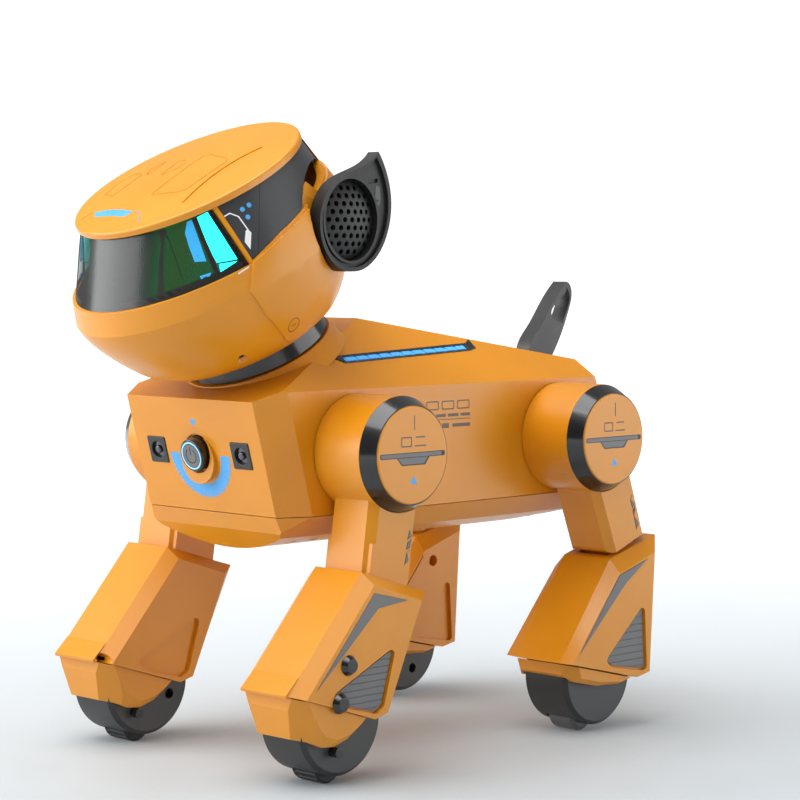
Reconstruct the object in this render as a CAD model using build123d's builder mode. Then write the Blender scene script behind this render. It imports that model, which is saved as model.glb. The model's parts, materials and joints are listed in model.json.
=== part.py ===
"""Quadruped robot dog that stands on four rollers.

The dog faces -Y, its left side is +X and the floor is Z = 0. Sizes are in millimetres.
Side outlines are lists of (y, z) points, with y measured from the middle of the wheelbase.
"""

from build123d import *
import os
from math import cos, radians, sin

os.makedirs("parts", exist_ok=True)

# ---------------------------------------------------------------- driving dimensions
MID_Y = 20.75  # middle of the wheelbase, seen from the centre of the whole footprint
WALL = 2.4  # usual shell thickness
SEAM = 0.3  # gap between neighbouring covers
FIT = 0.05  # radial clearance of a turning shaft

# torso
TORSO_HALF = 50.6
SHELL_SPLIT_Z = 112.9  # level where the back shell meets the belly shell
FACE_LEAN = 15.0  # forward lean of the chest, degrees
CHEST_FOOT = (-108.7, 112.1)
CHEST_HEAD = (-122.6, 164.0)
REAR_Y = 97.0

# head and neck
NECK_TILT = 28.0
NECK_BASE = (0, MID_Y - 81.3, 185.3)
NECK_R = 33.5
SPINDLE_R = 14.0
LIP_W = 57.4  # visor ledge, measured along the neck axis from the neck base
BAND_TOP_W = 84.5
CROWN_W = 90.3
DOME_R = 500.0
PILLAR_V = -26.0  # upright strip between visor and side window
PILLAR_HALF = 0.6

# ears
EAR_Y = -75.5
EAR_Z = 243.5
EAR_BACK = 52.2
EAR_RIM = 59.0
EAR_RECESS_R = 24.2

# legs
LEG_X = 65.45
HIP_HALF_SPAN = 67.7
HIP_Z = 140.5
DRUM_R = 25.7
DRUM_IN = 51.0
DRUM_OUT = 79.0
RING_OUT = 85.9
CAP_R = 21.5
THIGH_HALF = 14.05
KNEE_DROP = 66.0  # hip to knee along the thigh
SHIN_FLAT_HALF = 14.35
SHIN_FULL_HALF = 20.85
FOOT_R = 24.0
FOOT_HALF = 13.45
ROLLER_R = 7.5
ROLLER_HALF = 8.0
AXLE_R = 2.0
AXLE_INSET = 2.0  # material left between each axle end and the foot's face
KNEE_PIN_R = 3.0


# ---------------------------------------------------------------- planes
def side_plane(x):
    """Plane seen from the left: local axes are (y from mid wheelbase, z)."""
    return Plane(origin=(x, MID_Y, 0), x_dir=(0, 1, 0), z_dir=(1, 0, 0))


def front_plane(y):
    """Plane seen from the front: local axes are (x, z)."""
    return Plane(origin=(0, MID_Y + y, 0), x_dir=(1, 0, 0), z_dir=(0, -1, 0))


def plan_plane(z):
    """Level plane: local axes are (x, y from mid wheelbase)."""
    return Plane(origin=(0, MID_Y, z))


NECK_AXIS = (0, -sin(radians(NECK_TILT)), cos(radians(NECK_TILT)))
NECK_BACK = (0, cos(radians(NECK_TILT)), sin(radians(NECK_TILT)))


def head_plane(w):
    """Plane square to the neck axis, w above the neck base: local axes are (x, v rearward)."""
    origin = Vector(*NECK_BASE) + Vector(*NECK_AXIS) * w
    return Plane(origin=origin, x_dir=(1, 0, 0), z_dir=NECK_AXIS)


def head_side_plane(x):
    """Side view of the head: local axes are (v rearward, w up the neck axis)."""
    origin = Vector(*NECK_BASE) + Vector(x, 0, 0)
    return Plane(origin=origin, x_dir=NECK_BACK, z_dir=(1, 0, 0))


def chest_plane(z, depth=0.0):
    """Plane lying on the leaning chest at height z: local axes are (x, up the chest)."""
    lean = radians(FACE_LEAN)
    along = (z - CHEST_FOOT[1]) / cos(lean)
    out = Vector(0, -cos(lean), -sin(lean))
    up = Vector(0, -sin(lean), cos(lean))
    origin = Vector(0, MID_Y + CHEST_FOOT[0], CHEST_FOOT[1]) + up * along + out * depth
    return Plane(origin=origin, x_dir=(1, 0, 0), z_dir=out)


def chest_point(z, rise, depth):
    """Point above or below the chest level z and in front of the chest, as (y from mid wheelbase, z)."""
    point = chest_plane(z, depth).from_local_coords(Vector(0, rise, 0))
    return (point.Y - MID_Y, point.Z)


def save(piece, name):
    """Label one finished piece and write it to its own file."""
    piece.part.label = name
    export_step(piece.part, f"parts/{name}.step")


# ---------------------------------------------------------------- torso
TORSO_PROFILE = [
    (-105.8, 105.2),
    CHEST_FOOT,
    CHEST_HEAD,
    (-33, 198.4),
    (92, 176.4),
    (REAR_Y, 165),
    (REAR_Y, 104),
    (60, 96.8),
    (25, 94.5),
    (-97, 95),
]
FACET_SLOPE = 0.85
SHOULDER_Z = 168.0
RIDGE_Z = 210.0
BELLY_Z = 95.5
FRONT_HALF = 39.5  # half width of the chest between its bevelled corners


def torso_block(inset):
    """Closed form of the torso, drawn in by inset on every side."""
    ridge_x = TORSO_HALF - (RIDGE_Z - SHOULDER_Z) / FACET_SLOPE
    with BuildPart() as block:
        with BuildSketch(side_plane(0)):
            with BuildLine():
                Polyline(*TORSO_PROFILE, close=True)
            make_face()
            if inset:
                offset(amount=-inset, kind=Kind.INTERSECTION)
        extrude(amount=TORSO_HALF - inset, both=True)
        with BuildSketch(front_plane(-140)):
            with BuildLine():
                ThreePointArc((-40, 103), (0, BELLY_Z), (40, 103))
                Polyline(
                    (40, 103),
                    (TORSO_HALF, SHELL_SPLIT_Z),
                    (TORSO_HALF, SHOULDER_Z),
                    (ridge_x, RIDGE_Z),
                    (-ridge_x, RIDGE_Z),
                    (-TORSO_HALF, SHOULDER_Z),
                    (-TORSO_HALF, SHELL_SPLIT_Z),
                    (-40, 103),
                )
            make_face()
            if inset:
                offset(amount=-inset, kind=Kind.INTERSECTION)
        extrude(amount=-260, mode=Mode.INTERSECT)
        lean = radians(FACE_LEAN)
        with BuildSketch(plan_plane(CHEST_FOOT[1] - 20)):
            with BuildLine():
                Polyline(
                    (FRONT_HALF - inset, -110),
                    (TORSO_HALF - inset, -88.5),
                    (70, -88.5),
                    (70, -150),
                    (FRONT_HALF - inset, -150),
                    close=True,
                )
            make_face()
            mirror(about=Plane.YZ)
        extrude(amount=120, dir=(0, -sin(lean), cos(lean)), mode=Mode.SUBTRACT)
    return block.part


torso_outer = torso_block(0)
torso_inner = torso_block(WALL)

HIP_BORE_R = 9.0
TAIL_Z = 163.0
TAIL_SPIGOT_R = 4.0
BUTTON_Z = 139.5
BUTTON_R = 7.6
COLLAR_R = 11.0
COLLAR_DROP = 2.6  # the collar sits this much lower than the button
COLLAR_BORE_R = 8.8
SENSOR_X = 28.5
BEZEL_HALF = 6.2
SENSOR_WELL_R = 3.9

# scoop-shaped collar under the power button: flush above it and proudest below it
with BuildPart() as button_collar:
    with BuildSketch(chest_plane(BUTTON_Z, -1)):
        with Locations((0, -COLLAR_DROP)):
            Circle(COLLAR_R)
    extrude(amount=6)
    with BuildSketch(side_plane(0)):
        with BuildLine():
            Polyline(
                chest_point(BUTTON_Z, 9, -2),
                chest_point(BUTTON_Z, 9, 0),
                chest_point(BUTTON_Z, -15, 3.8),
                chest_point(BUTTON_Z, -15, -2),
                close=True,
            )
        make_face()
    extrude(amount=20, both=True, mode=Mode.INTERSECT)

with BuildPart() as torso_upper_shell:
    add(torso_outer)
    # raised collar round the neck
    with BuildSketch(head_plane(-10)):
        Circle(38.8)
    with BuildSketch(head_plane(-0.5)):
        Circle(34.6)
    loft()
    add(torso_inner, mode=Mode.SUBTRACT)
    # thickened seat below the collar that carries the neck spindle
    with BuildSketch(head_plane(-13)):
        Circle(24)
    extrude(amount=10)
    split(bisect_by=plan_plane(SHELL_SPLIT_Z), keep=Keep.TOP)
    with Locations(head_plane(0)):
        Hole(radius=SPINDLE_R + FIT, depth=40)
    # bores for the four hip shafts
    for hip_y in (-HIP_HALF_SPAN, HIP_HALF_SPAN):
        with BuildSketch(side_plane(0)):
            with Locations((hip_y, HIP_Z)):
                Circle(HIP_BORE_R + FIT)
        extrude(amount=TORSO_HALF + 1, both=True, mode=Mode.SUBTRACT)
    # tail bore in the rear wall
    with BuildSketch(front_plane(REAR_Y + 1)):
        with Locations((0, TAIL_Z)):
            Circle(TAIL_SPIGOT_R + FIT)
    extrude(amount=WALL + 4, mode=Mode.SUBTRACT)
    # collar, the well inside it and the button's bore
    add(button_collar.part)
    with BuildSketch(chest_plane(BUTTON_Z, -1)):
        Circle(COLLAR_BORE_R)
    extrude(amount=6, mode=Mode.SUBTRACT)
    with BuildSketch(chest_plane(BUTTON_Z, 1)):
        Circle(BUTTON_R + 0.4)
    extrude(amount=-6, mode=Mode.SUBTRACT)
    # windows for the two sensors
    with BuildSketch(chest_plane(BUTTON_Z, 1)):
        with Locations((-SENSOR_X, 0), (SENSOR_X, 0)):
            RectangleRounded(2 * BEZEL_HALF, 2 * BEZEL_HALF, 0.8)
    extrude(amount=-6, mode=Mode.SUBTRACT)

# light bars lie along the shoulder facets
BAR_START = (36.2, -69.0, 180.2)
BAR_END = (31.6, 29.0, 184.1)
BAR_HALF = 2.6
BAR_DEPTH = 1.6


def bar_plane(side, lift):
    """Plane on the left (1) or right (-1) shoulder facet: local x runs rearward along the bar."""
    start = Vector(side * BAR_START[0], MID_Y + BAR_START[1], BAR_START[2])
    end = Vector(side * BAR_END[0], MID_Y + BAR_END[1], BAR_END[2])
    normal = Vector(side * FACET_SLOPE, 0, 1).normalized()
    along = (end - start).normalized()
    flat = (along - normal * along.dot(normal)).normalized()
    return Plane(origin=start + normal * lift, x_dir=flat, z_dir=normal)


BAR_LENGTH = (Vector(*BAR_END) - Vector(*BAR_START)).length


def bar_face(side, margin):
    """Outline of one light bar, drawn in by margin: slanted front end and a rear end that kicks up."""
    low = -side * BAR_HALF
    high = side * BAR_HALF
    with BuildSketch() as face:
        with BuildLine():
            Polyline(
                (0, high),
                (BAR_LENGTH - 4, high),
                (BAR_LENGTH, high * 1.9),
                (BAR_LENGTH, low * 0.6),
                (BAR_LENGTH - 5, low),
                (7, low),
                close=True,
            )
        make_face()
        if margin:
            offset(amount=-margin, kind=Kind.INTERSECTION)
    return face.sketch


with BuildPart() as bar_pockets:
    for side in (-1, 1):
        with BuildSketch(bar_plane(side, 1)):
            add(bar_face(side, 0))
        extrude(amount=-1 - BAR_DEPTH)

with BuildPart() as torso_upper:
    add(torso_upper_shell.part)
    add(bar_pockets.part, mode=Mode.SUBTRACT)
save(torso_upper, "torso_upper_shell")

with BuildPart() as light_bar_housings:
    for side in (-1, 1):
        with BuildSketch(bar_plane(side, -BAR_DEPTH)):
            add(bar_face(side, 0.1))
        extrude(amount=BAR_DEPTH + 0.4)
        with BuildSketch(bar_plane(side, 0.5)):
            with Locations((BAR_LENGTH / 2 + 1, 0)):
                Rectangle(BAR_LENGTH - 14, 3.2)
        extrude(amount=-1.2, mode=Mode.SUBTRACT)
save(light_bar_housings, "light_bar_housings")

with BuildPart() as light_bar_lenses:
    for side in (-1, 1):
        with BuildSketch(bar_plane(side, -0.7)):
            with Locations((BAR_LENGTH / 2 + 1, 0)):
                Rectangle(BAR_LENGTH - 14.4, 2.9)
        extrude(amount=0.4)
        with BuildSketch(bar_plane(side, -0.4)):
            with Locations((BAR_LENGTH / 2 + 1, 0)):
                with GridLocations(7.6, 1, 11, 1):
                    Rectangle(5.4, 2.3)
        extrude(amount=0.6)
save(light_bar_lenses, "light_bar_lenses")

# belly shell with its battery door
DOOR_HALF_X = 22.0
DOOR_Y = (-34.0, 44.0)
SCREW_SEAT_Z = 102.4
SCREW_GRID = (60, 150)

with BuildPart() as belly:
    add(torso_outer)
    add(torso_inner, mode=Mode.SUBTRACT)
    split(bisect_by=plan_plane(SHELL_SPLIT_Z - SEAM), keep=Keep.BOTTOM)
    for slot_y in (-86, 70):
        with BuildSketch(plan_plane(90)):
            with Locations((-26, slot_y), (26, slot_y)):
                SlotOverall(10, 2.4)
        extrude(amount=14, mode=Mode.SUBTRACT)

with BuildPart() as door_space:
    with BuildSketch(plan_plane(90)):
        with Locations((0, sum(DOOR_Y) / 2)):
            RectangleRounded(2 * DOOR_HALF_X, DOOR_Y[1] - DOOR_Y[0], 4)
    extrude(amount=16)

with BuildPart() as torso_belly_shell:
    add(belly.part)
    with BuildSketch(plan_plane(90)):
        with Locations((0, sum(DOOR_Y) / 2)):
            RectangleRounded(2 * DOOR_HALF_X + 0.6, DOOR_Y[1] - DOOR_Y[0] + 0.6, 4.3)
    extrude(amount=16, mode=Mode.SUBTRACT)
    # screw posts at the corners, each with a sunk hole from below
    with BuildSketch(plan_plane(SCREW_SEAT_Z)):
        with GridLocations(*SCREW_GRID, 2, 2):
            Circle(4)
    extrude(amount=SHELL_SPLIT_Z - SCREW_SEAT_Z - SEAM)
    with BuildSketch(plan_plane(90)):
        with GridLocations(*SCREW_GRID, 2, 2):
            Circle(2.6)
    extrude(amount=SCREW_SEAT_Z - 90, mode=Mode.SUBTRACT)
    with BuildSketch(plan_plane(90)):
        with GridLocations(*SCREW_GRID, 2, 2):
            Circle(1.6)
    extrude(amount=25, mode=Mode.SUBTRACT)
save(torso_belly_shell, "torso_belly_shell")

with BuildPart() as battery_door:
    add(belly.part)
    add(door_space.part, mode=Mode.INTERSECT)
save(battery_door, "battery_door")

with BuildPart() as torso_screws:
    with BuildSketch(plan_plane(SCREW_SEAT_Z)):
        with GridLocations(*SCREW_GRID, 2, 2):
            Circle(1.5)
    extrude(amount=9)
    with BuildSketch(plan_plane(SCREW_SEAT_Z)):
        with GridLocations(*SCREW_GRID, 2, 2):
            Circle(2.4)
    extrude(amount=-1.4)
save(torso_screws, "torso_screws")

with BuildPart() as battery_pack:
    with BuildSketch(plan_plane(101)):
        with Locations((0, sum(DOOR_Y) / 2)):
            RectangleRounded(38, 70, 3)
    extrude(amount=18)
    fillet(battery_pack.edges().group_by(Axis.Z)[-1], 2)
save(battery_pack, "battery_pack")

with BuildPart() as main_board:
    with BuildSketch(plan_plane(128)):
        Rectangle(46, 84)
    extrude(amount=1.6)
    with BuildSketch(plan_plane(129.6)):
        with Locations((0, -18), (8, 14)):
            Rectangle(14, 14)
        with GridLocations(34, 60, 2, 2):
            Rectangle(6, 10)
    extrude(amount=2.2)
save(main_board, "main_board")

with BuildPart() as speaker:
    with BuildSketch(plan_plane(150)):
        with Locations((0, 40)):
            Circle(17)
    extrude(amount=3)
    with BuildSketch(plan_plane(143)):
        with Locations((0, 40)):
            Circle(10)
    extrude(amount=8)
save(speaker, "speaker")

with BuildPart() as hip_motors:
    for side in (-1, 1):
        for hip_y in (-HIP_HALF_SPAN, HIP_HALF_SPAN):
            with BuildSketch(side_plane(side * 24)):
                with Locations((hip_y, HIP_Z)):
                    RectangleRounded(26, 30, 3)
            extrude(amount=side * 16)
            with BuildSketch(side_plane(side * 24)):
                with Locations((hip_y, HIP_Z)):
                    Circle(6)
            extrude(amount=side * 19)
save(hip_motors, "hip_motors")

# chest sensors
with BuildPart() as sensor_bezels:
    with BuildSketch(chest_plane(BUTTON_Z, -WALL)):
        with Locations((-SENSOR_X, 0), (SENSOR_X, 0)):
            RectangleRounded(2 * BEZEL_HALF - 0.2, 2 * BEZEL_HALF - 0.2, 0.7)
    extrude(amount=WALL + 0.5)
    fillet(sensor_bezels.faces().filter_by(chest_plane(BUTTON_Z, 0.5)).edges(), 0.4)
    with BuildSketch(chest_plane(BUTTON_Z, 0.6)):
        with Locations((-SENSOR_X, 0), (SENSOR_X, 0)):
            Circle(SENSOR_WELL_R)
    extrude(amount=-1.9, mode=Mode.SUBTRACT)
save(sensor_bezels, "sensor_bezels")

with BuildPart() as sensor_lenses:
    with BuildSketch(chest_plane(BUTTON_Z, -1.3)):
        with Locations((-SENSOR_X, 0), (SENSOR_X, 0)):
            Circle(SENSOR_WELL_R - 0.1)
    extrude(amount=0.4)
    with BuildSketch(chest_plane(BUTTON_Z, -0.9)):
        with Locations((-SENSOR_X, 0), (SENSOR_X, 0)):
            Circle(1.9)
    extrude(amount=1.5)
    fillet(sensor_lenses.edges().filter_by(GeomType.CIRCLE).group_by(Axis.Y)[0], 0.9)
save(sensor_lenses, "sensor_lenses")

with BuildPart() as power_button:
    with BuildSketch(chest_plane(BUTTON_Z, -1.2)):
        Circle(BUTTON_R)
    extrude(amount=6.0)
    fillet(power_button.faces().sort_by(Axis.Y)[0].edges(), 0.9)
    # groove for the light ring
    with BuildSketch(chest_plane(BUTTON_Z, 4.8)):
        Circle(6.5)
        Circle(5.6, mode=Mode.SUBTRACT)
    extrude(amount=-0.3, mode=Mode.SUBTRACT)
save(power_button, "power_button")

# ---------------------------------------------------------------- tail
TAIL_HALF = 4.6
TAIL_FRONT_EDGE = [(98.4, 176), (99.8, 183.2), (107.2, 191.9), (116.6, 203.6), (123.2, 210.8), (127, 214.2)]
TAIL_REAR_EDGE = [(127, 214.2), (130.1, 211.6), (130.8, 206.9), (128.4, 199.2), (123.4, 188.5), (109.5, 168)]

with BuildPart() as tail:
    with BuildSketch(side_plane(0)):
        with BuildLine():
            Spline(*TAIL_FRONT_EDGE)
            Spline(*TAIL_REAR_EDGE)
            Polyline((109.5, 168), (98.4, 168), (98.4, 176))
        make_face()
    extrude(amount=TAIL_HALF, both=True)
    # slim window near the tip
    with BuildSketch(side_plane(0)):
        with BuildLine():
            Spline((126.6, 211.2), (119.0, 203.2), (115.2, 198.4), (116.4, 195.6))
            Spline((116.4, 195.6), (120, 193.8), (124.0, 193.2))
            Spline((124.0, 193.2), (126.9, 199.2), (129.1, 206.9), (126.6, 211.2))
        make_face()
    extrude(amount=TAIL_HALF + 1, both=True, mode=Mode.SUBTRACT)
    # round foot against the rear wall, and the spigot the tail turns on
    with BuildSketch(front_plane(REAR_Y + 0.5)):
        with Locations((0, TAIL_Z)):
            Circle(11)
    extrude(amount=-6)
    with BuildSketch(side_plane(0)):
        with Locations((102.5, 169)):
            Rectangle(8, 6)
    extrude(amount=TAIL_HALF, both=True)
    with BuildSketch(front_plane(REAR_Y + 0.6)):
        with Locations((0, TAIL_Z)):
            Circle(TAIL_SPIGOT_R)
    extrude(amount=WALL + 4)
save(tail, "tail")

# ---------------------------------------------------------------- head
# level along the neck axis, half width, reach to the front, reach to the rear
HEAD_SECTIONS = [
    (8, 35, 41, 36),
    (16, 46, 56, 47),
    (26, 52, 64, 54),
    (36, 55.5, 70.5, 60),
    (47.5, 58, 75, 64),
    (LIP_W, 57, 72, 64),
    (BAND_TOP_W, 50.5, 54.5, 54.5),
]


def head_form(low, high, inset):
    """Oval form of the head through the given sections, drawn in by inset."""
    with BuildPart() as form:
        for level, half, front, rear in HEAD_SECTIONS[low:high]:
            with BuildSketch(head_plane(level)):
                with Locations((0, (rear - front) / 2)):
                    Ellipse(half - inset, (front + rear) / 2 - inset)
        loft()
    return form.part


WINDOW_OUTLINE = [
    (PILLAR_V + PILLAR_HALF, BAND_TOP_W + 2),
    (PILLAR_V + PILLAR_HALF, 58.4),
    (-7.7, 62.4),
    (12.5, 64.8),
    (39.4, 67.0),
    (47.5, 70.5),
    (46.5, 78),
    (44.0, BAND_TOP_W + 2),
]


def side_window(margin):
    """Prism across the head through both side windows."""
    with BuildPart() as prism:
        with BuildSketch(head_side_plane(0)):
            with BuildLine():
                Polyline(*WINDOW_OUTLINE, close=True)
            make_face()
            if margin:
                offset(amount=margin, kind=Kind.INTERSECTION)
        extrude(amount=70, both=True)
    return prism.part


def ear_recess(radius, start, end):
    """Round space on both sides of the head that an ear turns in."""
    with BuildPart() as recess:
        for side in (-1, 1):
            with BuildSketch(side_plane(side * start)):
                with Locations((EAR_Y, EAR_Z)):
                    Circle(radius)
            extrude(amount=side * (end - start))
    return recess.part


bowl_outer = head_form(0, 5, 0)
bowl_inner = head_form(0, 5, WALL)
jaw_outer = head_form(4, 6, 0)
jaw_inner = head_form(4, 6, WALL)
band_outer = head_form(5, 7, 0)
band_inner = head_form(5, 7, 3.6)
CHEEK_PROUD = 0.9

# cheeks: slightly proud of the bowl behind the line that drops from each pillar
with BuildPart() as cheeks:
    add(head_form(0, 5, -CHEEK_PROUD))
    add(head_form(4, 6, -CHEEK_PROUD))
    add(head_form(5, 7, -CHEEK_PROUD))
    with BuildSketch(head_side_plane(0)):
        with BuildLine():
            Polyline(
                (PILLAR_V, 58.0),
                (-32.8, 47.5),
                (-28.3, 33.8),
                (-18.1, 15.7),
                (-14, 12),
                (70, 12),
                (70, 66.2),
                (39.4, 65.6),
                (12.5, 63.4),
                (-7.7, 61.2),
                close=True,
            )
        make_face()
    extrude(amount=70, both=True, mode=Mode.INTERSECT)

with BuildPart() as head_hollow:
    add(bowl_inner)
    add(jaw_inner)
    add(band_inner)
    split(bisect_by=head_plane(8 + WALL), keep=Keep.TOP)

with BuildPart() as ear_seats:
    add(bowl_outer)
    add(jaw_outer)
    add(band_outer)
    add(ear_recess(EAR_RECESS_R + WALL, EAR_BACK - 0.5 - WALL, EAR_BACK - 0.5), mode=Mode.INTERSECT)

with BuildPart() as head_shell:
    add(bowl_outer)
    add(jaw_outer)
    add(cheeks.part)
    add(band_outer)
    add(head_hollow.part, mode=Mode.SUBTRACT)
    # everything in front of the pillars is left open for the visor
    with BuildSketch(head_plane(LIP_W)):
        with Locations((0, PILLAR_V - PILLAR_HALF - 50)):
            Rectangle(140, 100)
    extrude(amount=40, mode=Mode.SUBTRACT)
    add(side_window(0), mode=Mode.SUBTRACT)
    # floor of each ear recess, then the recess itself
    add(ear_seats.part)
    add(ear_recess(EAR_RECESS_R, EAR_BACK - 0.5, 75), mode=Mode.SUBTRACT)
    # bores for the ear spigots
    with BuildSketch(side_plane(0)):
        with Locations((EAR_Y, EAR_Z)):
            Circle(4 + FIT)
    extrude(amount=70, both=True, mode=Mode.SUBTRACT)
    # screw hole under the jaw on each side
    with BuildSketch(head_plane(4)):
        with Locations((-36, -37), (36, -37)):
            Circle(2.2)
    extrude(amount=20, mode=Mode.SUBTRACT)
save(head_shell, "head_shell")

with BuildPart() as visor:
    add(head_form(5, 7, 1.4))
    add(band_inner, mode=Mode.SUBTRACT)
    with BuildSketch(head_plane(LIP_W + 0.1)):
        with Locations((0, PILLAR_V - PILLAR_HALF - 0.2 - 50)):
            Rectangle(140, 100)
    extrude(amount=BAND_TOP_W - LIP_W - 0.2, mode=Mode.INTERSECT)
save(visor, "visor")

with BuildPart() as eye_display:
    add(head_form(5, 7, 7.0))
    add(head_form(5, 7, 9.0), mode=Mode.SUBTRACT)
    with BuildSketch(head_plane(LIP_W + 1)):
        with Locations((0, PILLAR_V - 4 - 50)):
            Rectangle(140, 100)
    extrude(amount=BAND_TOP_W - LIP_W - 2, mode=Mode.INTERSECT)
save(eye_display, "eye_display")

with BuildPart() as head_side_panels:
    add(head_form(5, 7, 0.6))
    add(head_form(5, 7, 3.0), mode=Mode.SUBTRACT)
    add(side_window(-0.15), mode=Mode.INTERSECT)
    split(bisect_by=head_plane(BAND_TOP_W - 0.1), keep=Keep.BOTTOM)
    add(ear_recess(EAR_RECESS_R + WALL + 0.15, 30, 75), mode=Mode.SUBTRACT)
save(head_side_panels, "head_side_panels")

# grooved outlines on the crown, and one shallow sweep along its left side
CROWN_OUTLINES = [
    [(1.5, -23.5), (18, -21), (20.5, -18), (20.5, 7.5), (17.5, 11), (2, 15.8), (-2.3, 14.5)],
    [(-12.3, -5.5), (-14.4, 9.5), (-11.5, 11.3), (-7.5, 8.5), (-6.6, 2)],
    [(-23.1, -4.2), (-27.8, 2.6), (-27.0, 9), (-24.4, 11.8), (-23.4, 4)],
    [(-27.3, -22.6), (-26.8, -19), (-27.9, -1.7), (-36, 1), (-38.5, -8), (-36, -19.2)],
]
GROOVE_WIDTH = 0.5
GROOVE_DEPTH = 0.3
SWEEP_DEPTH = 0.45

with BuildPart() as crown_grooves:
    for outline in CROWN_OUTLINES:
        with BuildSketch(head_plane(BAND_TOP_W + 1)) as groove:
            with BuildLine():
                FilletPolyline(*outline, radius=0.7, close=True)
            make_face()
            offset(amount=-GROOVE_WIDTH, mode=Mode.SUBTRACT)
        extrude(amount=10)
    with Locations(head_plane(CROWN_W - DOME_R)):
        Sphere(DOME_R - GROOVE_DEPTH, mode=Mode.SUBTRACT)

with BuildPart() as crown_sweep:
    with BuildSketch(head_plane(BAND_TOP_W + 1)):
        with BuildLine():
            Spline((28.5, -30), (24.8, -12), (23.8, 5), (27, 24))
            Spline((27, 24), (34, 12), (36.8, -6), (28.5, -30))
        make_face()
    extrude(amount=10)
    with Locations(head_plane(CROWN_W - DOME_R)):
        Sphere(DOME_R - SWEEP_DEPTH, mode=Mode.SUBTRACT)

with BuildPart() as crown_plate:
    with BuildSketch(head_plane(BAND_TOP_W)):
        Ellipse(51, 55)
    extrude(amount=12)
    with Locations(head_plane(CROWN_W - DOME_R)):
        Sphere(DOME_R, mode=Mode.INTERSECT)
    fillet(crown_plate.faces().filter_by(GeomType.SPHERE)[0].edges(), 1.2)
    add(crown_grooves.part, mode=Mode.SUBTRACT)
    add(crown_sweep.part, mode=Mode.SUBTRACT)
save(crown_plate, "crown_plate")

with BuildPart() as neck_ring:
    with BuildSketch(head_plane(0.2)):
        Circle(NECK_R)
    with BuildSketch(head_plane(8)):
        Circle(32)
    loft()
    with BuildSketch(head_plane(-19)):
        Circle(SPINDLE_R)
    extrude(amount=20)
    with BuildSketch(head_plane(-19)):
        Circle(SPINDLE_R + 3)
    extrude(amount=4)
    with Locations(head_plane(0)):
        Hole(radius=8, depth=40)
save(neck_ring, "neck_ring")

# ---------------------------------------------------------------- ears
DISH_Y = -77.6
DISH_Z = 242.9
DISH_RY = 15.7
DISH_RZ = 18.0
DISH_DEPTH = 5.2
DOME_TOP = 0.3  # the grille's dome stays this far below the rim
GRILLE_R = 38.0
DIMPLE_PITCH = 4.05
DIMPLE_R = 1.15
EAR_OUTLINE_BACK = [
    (-61.6, 273.1),
    (-55.8, 262),
    (-53.7, 250),
    (-55.5, 239),
    (-62, 227.5),
    (-72, 221),
    (-77.5, 220.3),
]
EAR_OUTLINE_FRONT = [
    (-77.5, 220.3),
    (-87, 222.5),
    (-94.5, 230.5),
    (-97.1, 242),
    (-95, 251),
    (-89, 258.6),
    (-80, 263.3),
    (-70, 267),
    (-61.6, 273.1),
]


def ear_face(share):
    """Teardrop outline of an ear, scaled about the middle of its dish."""
    outline = []
    for points in (EAR_OUTLINE_BACK, EAR_OUTLINE_FRONT):
        outline.append([(DISH_Y + (y - DISH_Y) * share, DISH_Z + (z - DISH_Z) * share) for y, z in points])
    with BuildSketch() as face:
        with BuildLine():
            Spline(*outline[0])
            Spline(*outline[1])
        make_face()
    return face.sketch


def dimple_points():
    """Centres of the grille's holes, in staggered rows that stay inside the dish."""
    points = []
    for row in range(-4, 5):
        for column in range(-4, 5):
            y = DIMPLE_PITCH * (column + (row % 2) / 2)
            z = DIMPLE_PITCH * row * cos(radians(30))
            if (y / (DISH_RY - 1.7)) ** 2 + (z / (DISH_RZ - 1.7)) ** 2 < 1:
                points.append((DISH_Y + y, DISH_Z + z))
    return points


for side, word in ((1, "left"), (-1, "right")):
    with BuildPart() as ear_cup:
        with BuildSketch(side_plane(side * EAR_BACK)):
            add(ear_face(1))
        extrude(amount=side * (EAR_RIM - EAR_BACK))
        # floor below the rim, with a low ring round the dish
        with BuildSketch(side_plane(side * EAR_RIM)):
            add(ear_face(0.92))
            with Locations((DISH_Y, DISH_Z)):
                Ellipse(DISH_RY + 1.3, DISH_RZ + 1.3, mode=Mode.SUBTRACT)
        extrude(amount=-side * 1.6, mode=Mode.SUBTRACT)
        with BuildSketch(side_plane(side * EAR_RIM)):
            with Locations((DISH_Y, DISH_Z)):
                Ellipse(DISH_RY + 1.3, DISH_RZ + 1.3)
        extrude(amount=-side * 0.6, mode=Mode.SUBTRACT)
        with BuildSketch(side_plane(side * EAR_RIM)):
            with Locations((DISH_Y, DISH_Z)):
                Ellipse(DISH_RY, DISH_RZ)
        extrude(amount=-side * DISH_DEPTH, mode=Mode.SUBTRACT)
        # small slot behind the dish
        with BuildSketch(side_plane(side * EAR_RIM)):
            with Locations(Pos(-63.6, 260.1) * Rot(0, 0, 7)):
                Rectangle(5.8, 1.8)
        extrude(amount=-side * 2.6, mode=Mode.SUBTRACT)
        with BuildSketch(side_plane(side * (EAR_BACK + 1))):
            with Locations((EAR_Y, EAR_Z)):
                Circle(4)
        extrude(amount=-side * 6)
    save(ear_cup, f"{word}_ear_cup")

    with BuildPart() as ear_grille:
        with BuildSketch(side_plane(side * (EAR_RIM - DISH_DEPTH))):
            with Locations((DISH_Y, DISH_Z)):
                Ellipse(DISH_RY - 0.2, DISH_RZ - 0.2)
        extrude(amount=side * DISH_DEPTH)
        with Locations((side * (EAR_RIM - DOME_TOP - GRILLE_R), MID_Y + DISH_Y, DISH_Z)):
            Sphere(GRILLE_R, mode=Mode.INTERSECT)
        with BuildSketch(side_plane(side * EAR_RIM)):
            with Locations(*dimple_points()):
                Circle(DIMPLE_R)
        extrude(amount=-side * (DISH_DEPTH + 1), mode=Mode.SUBTRACT)
    save(ear_grille, f"{word}_ear_grille")

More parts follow.
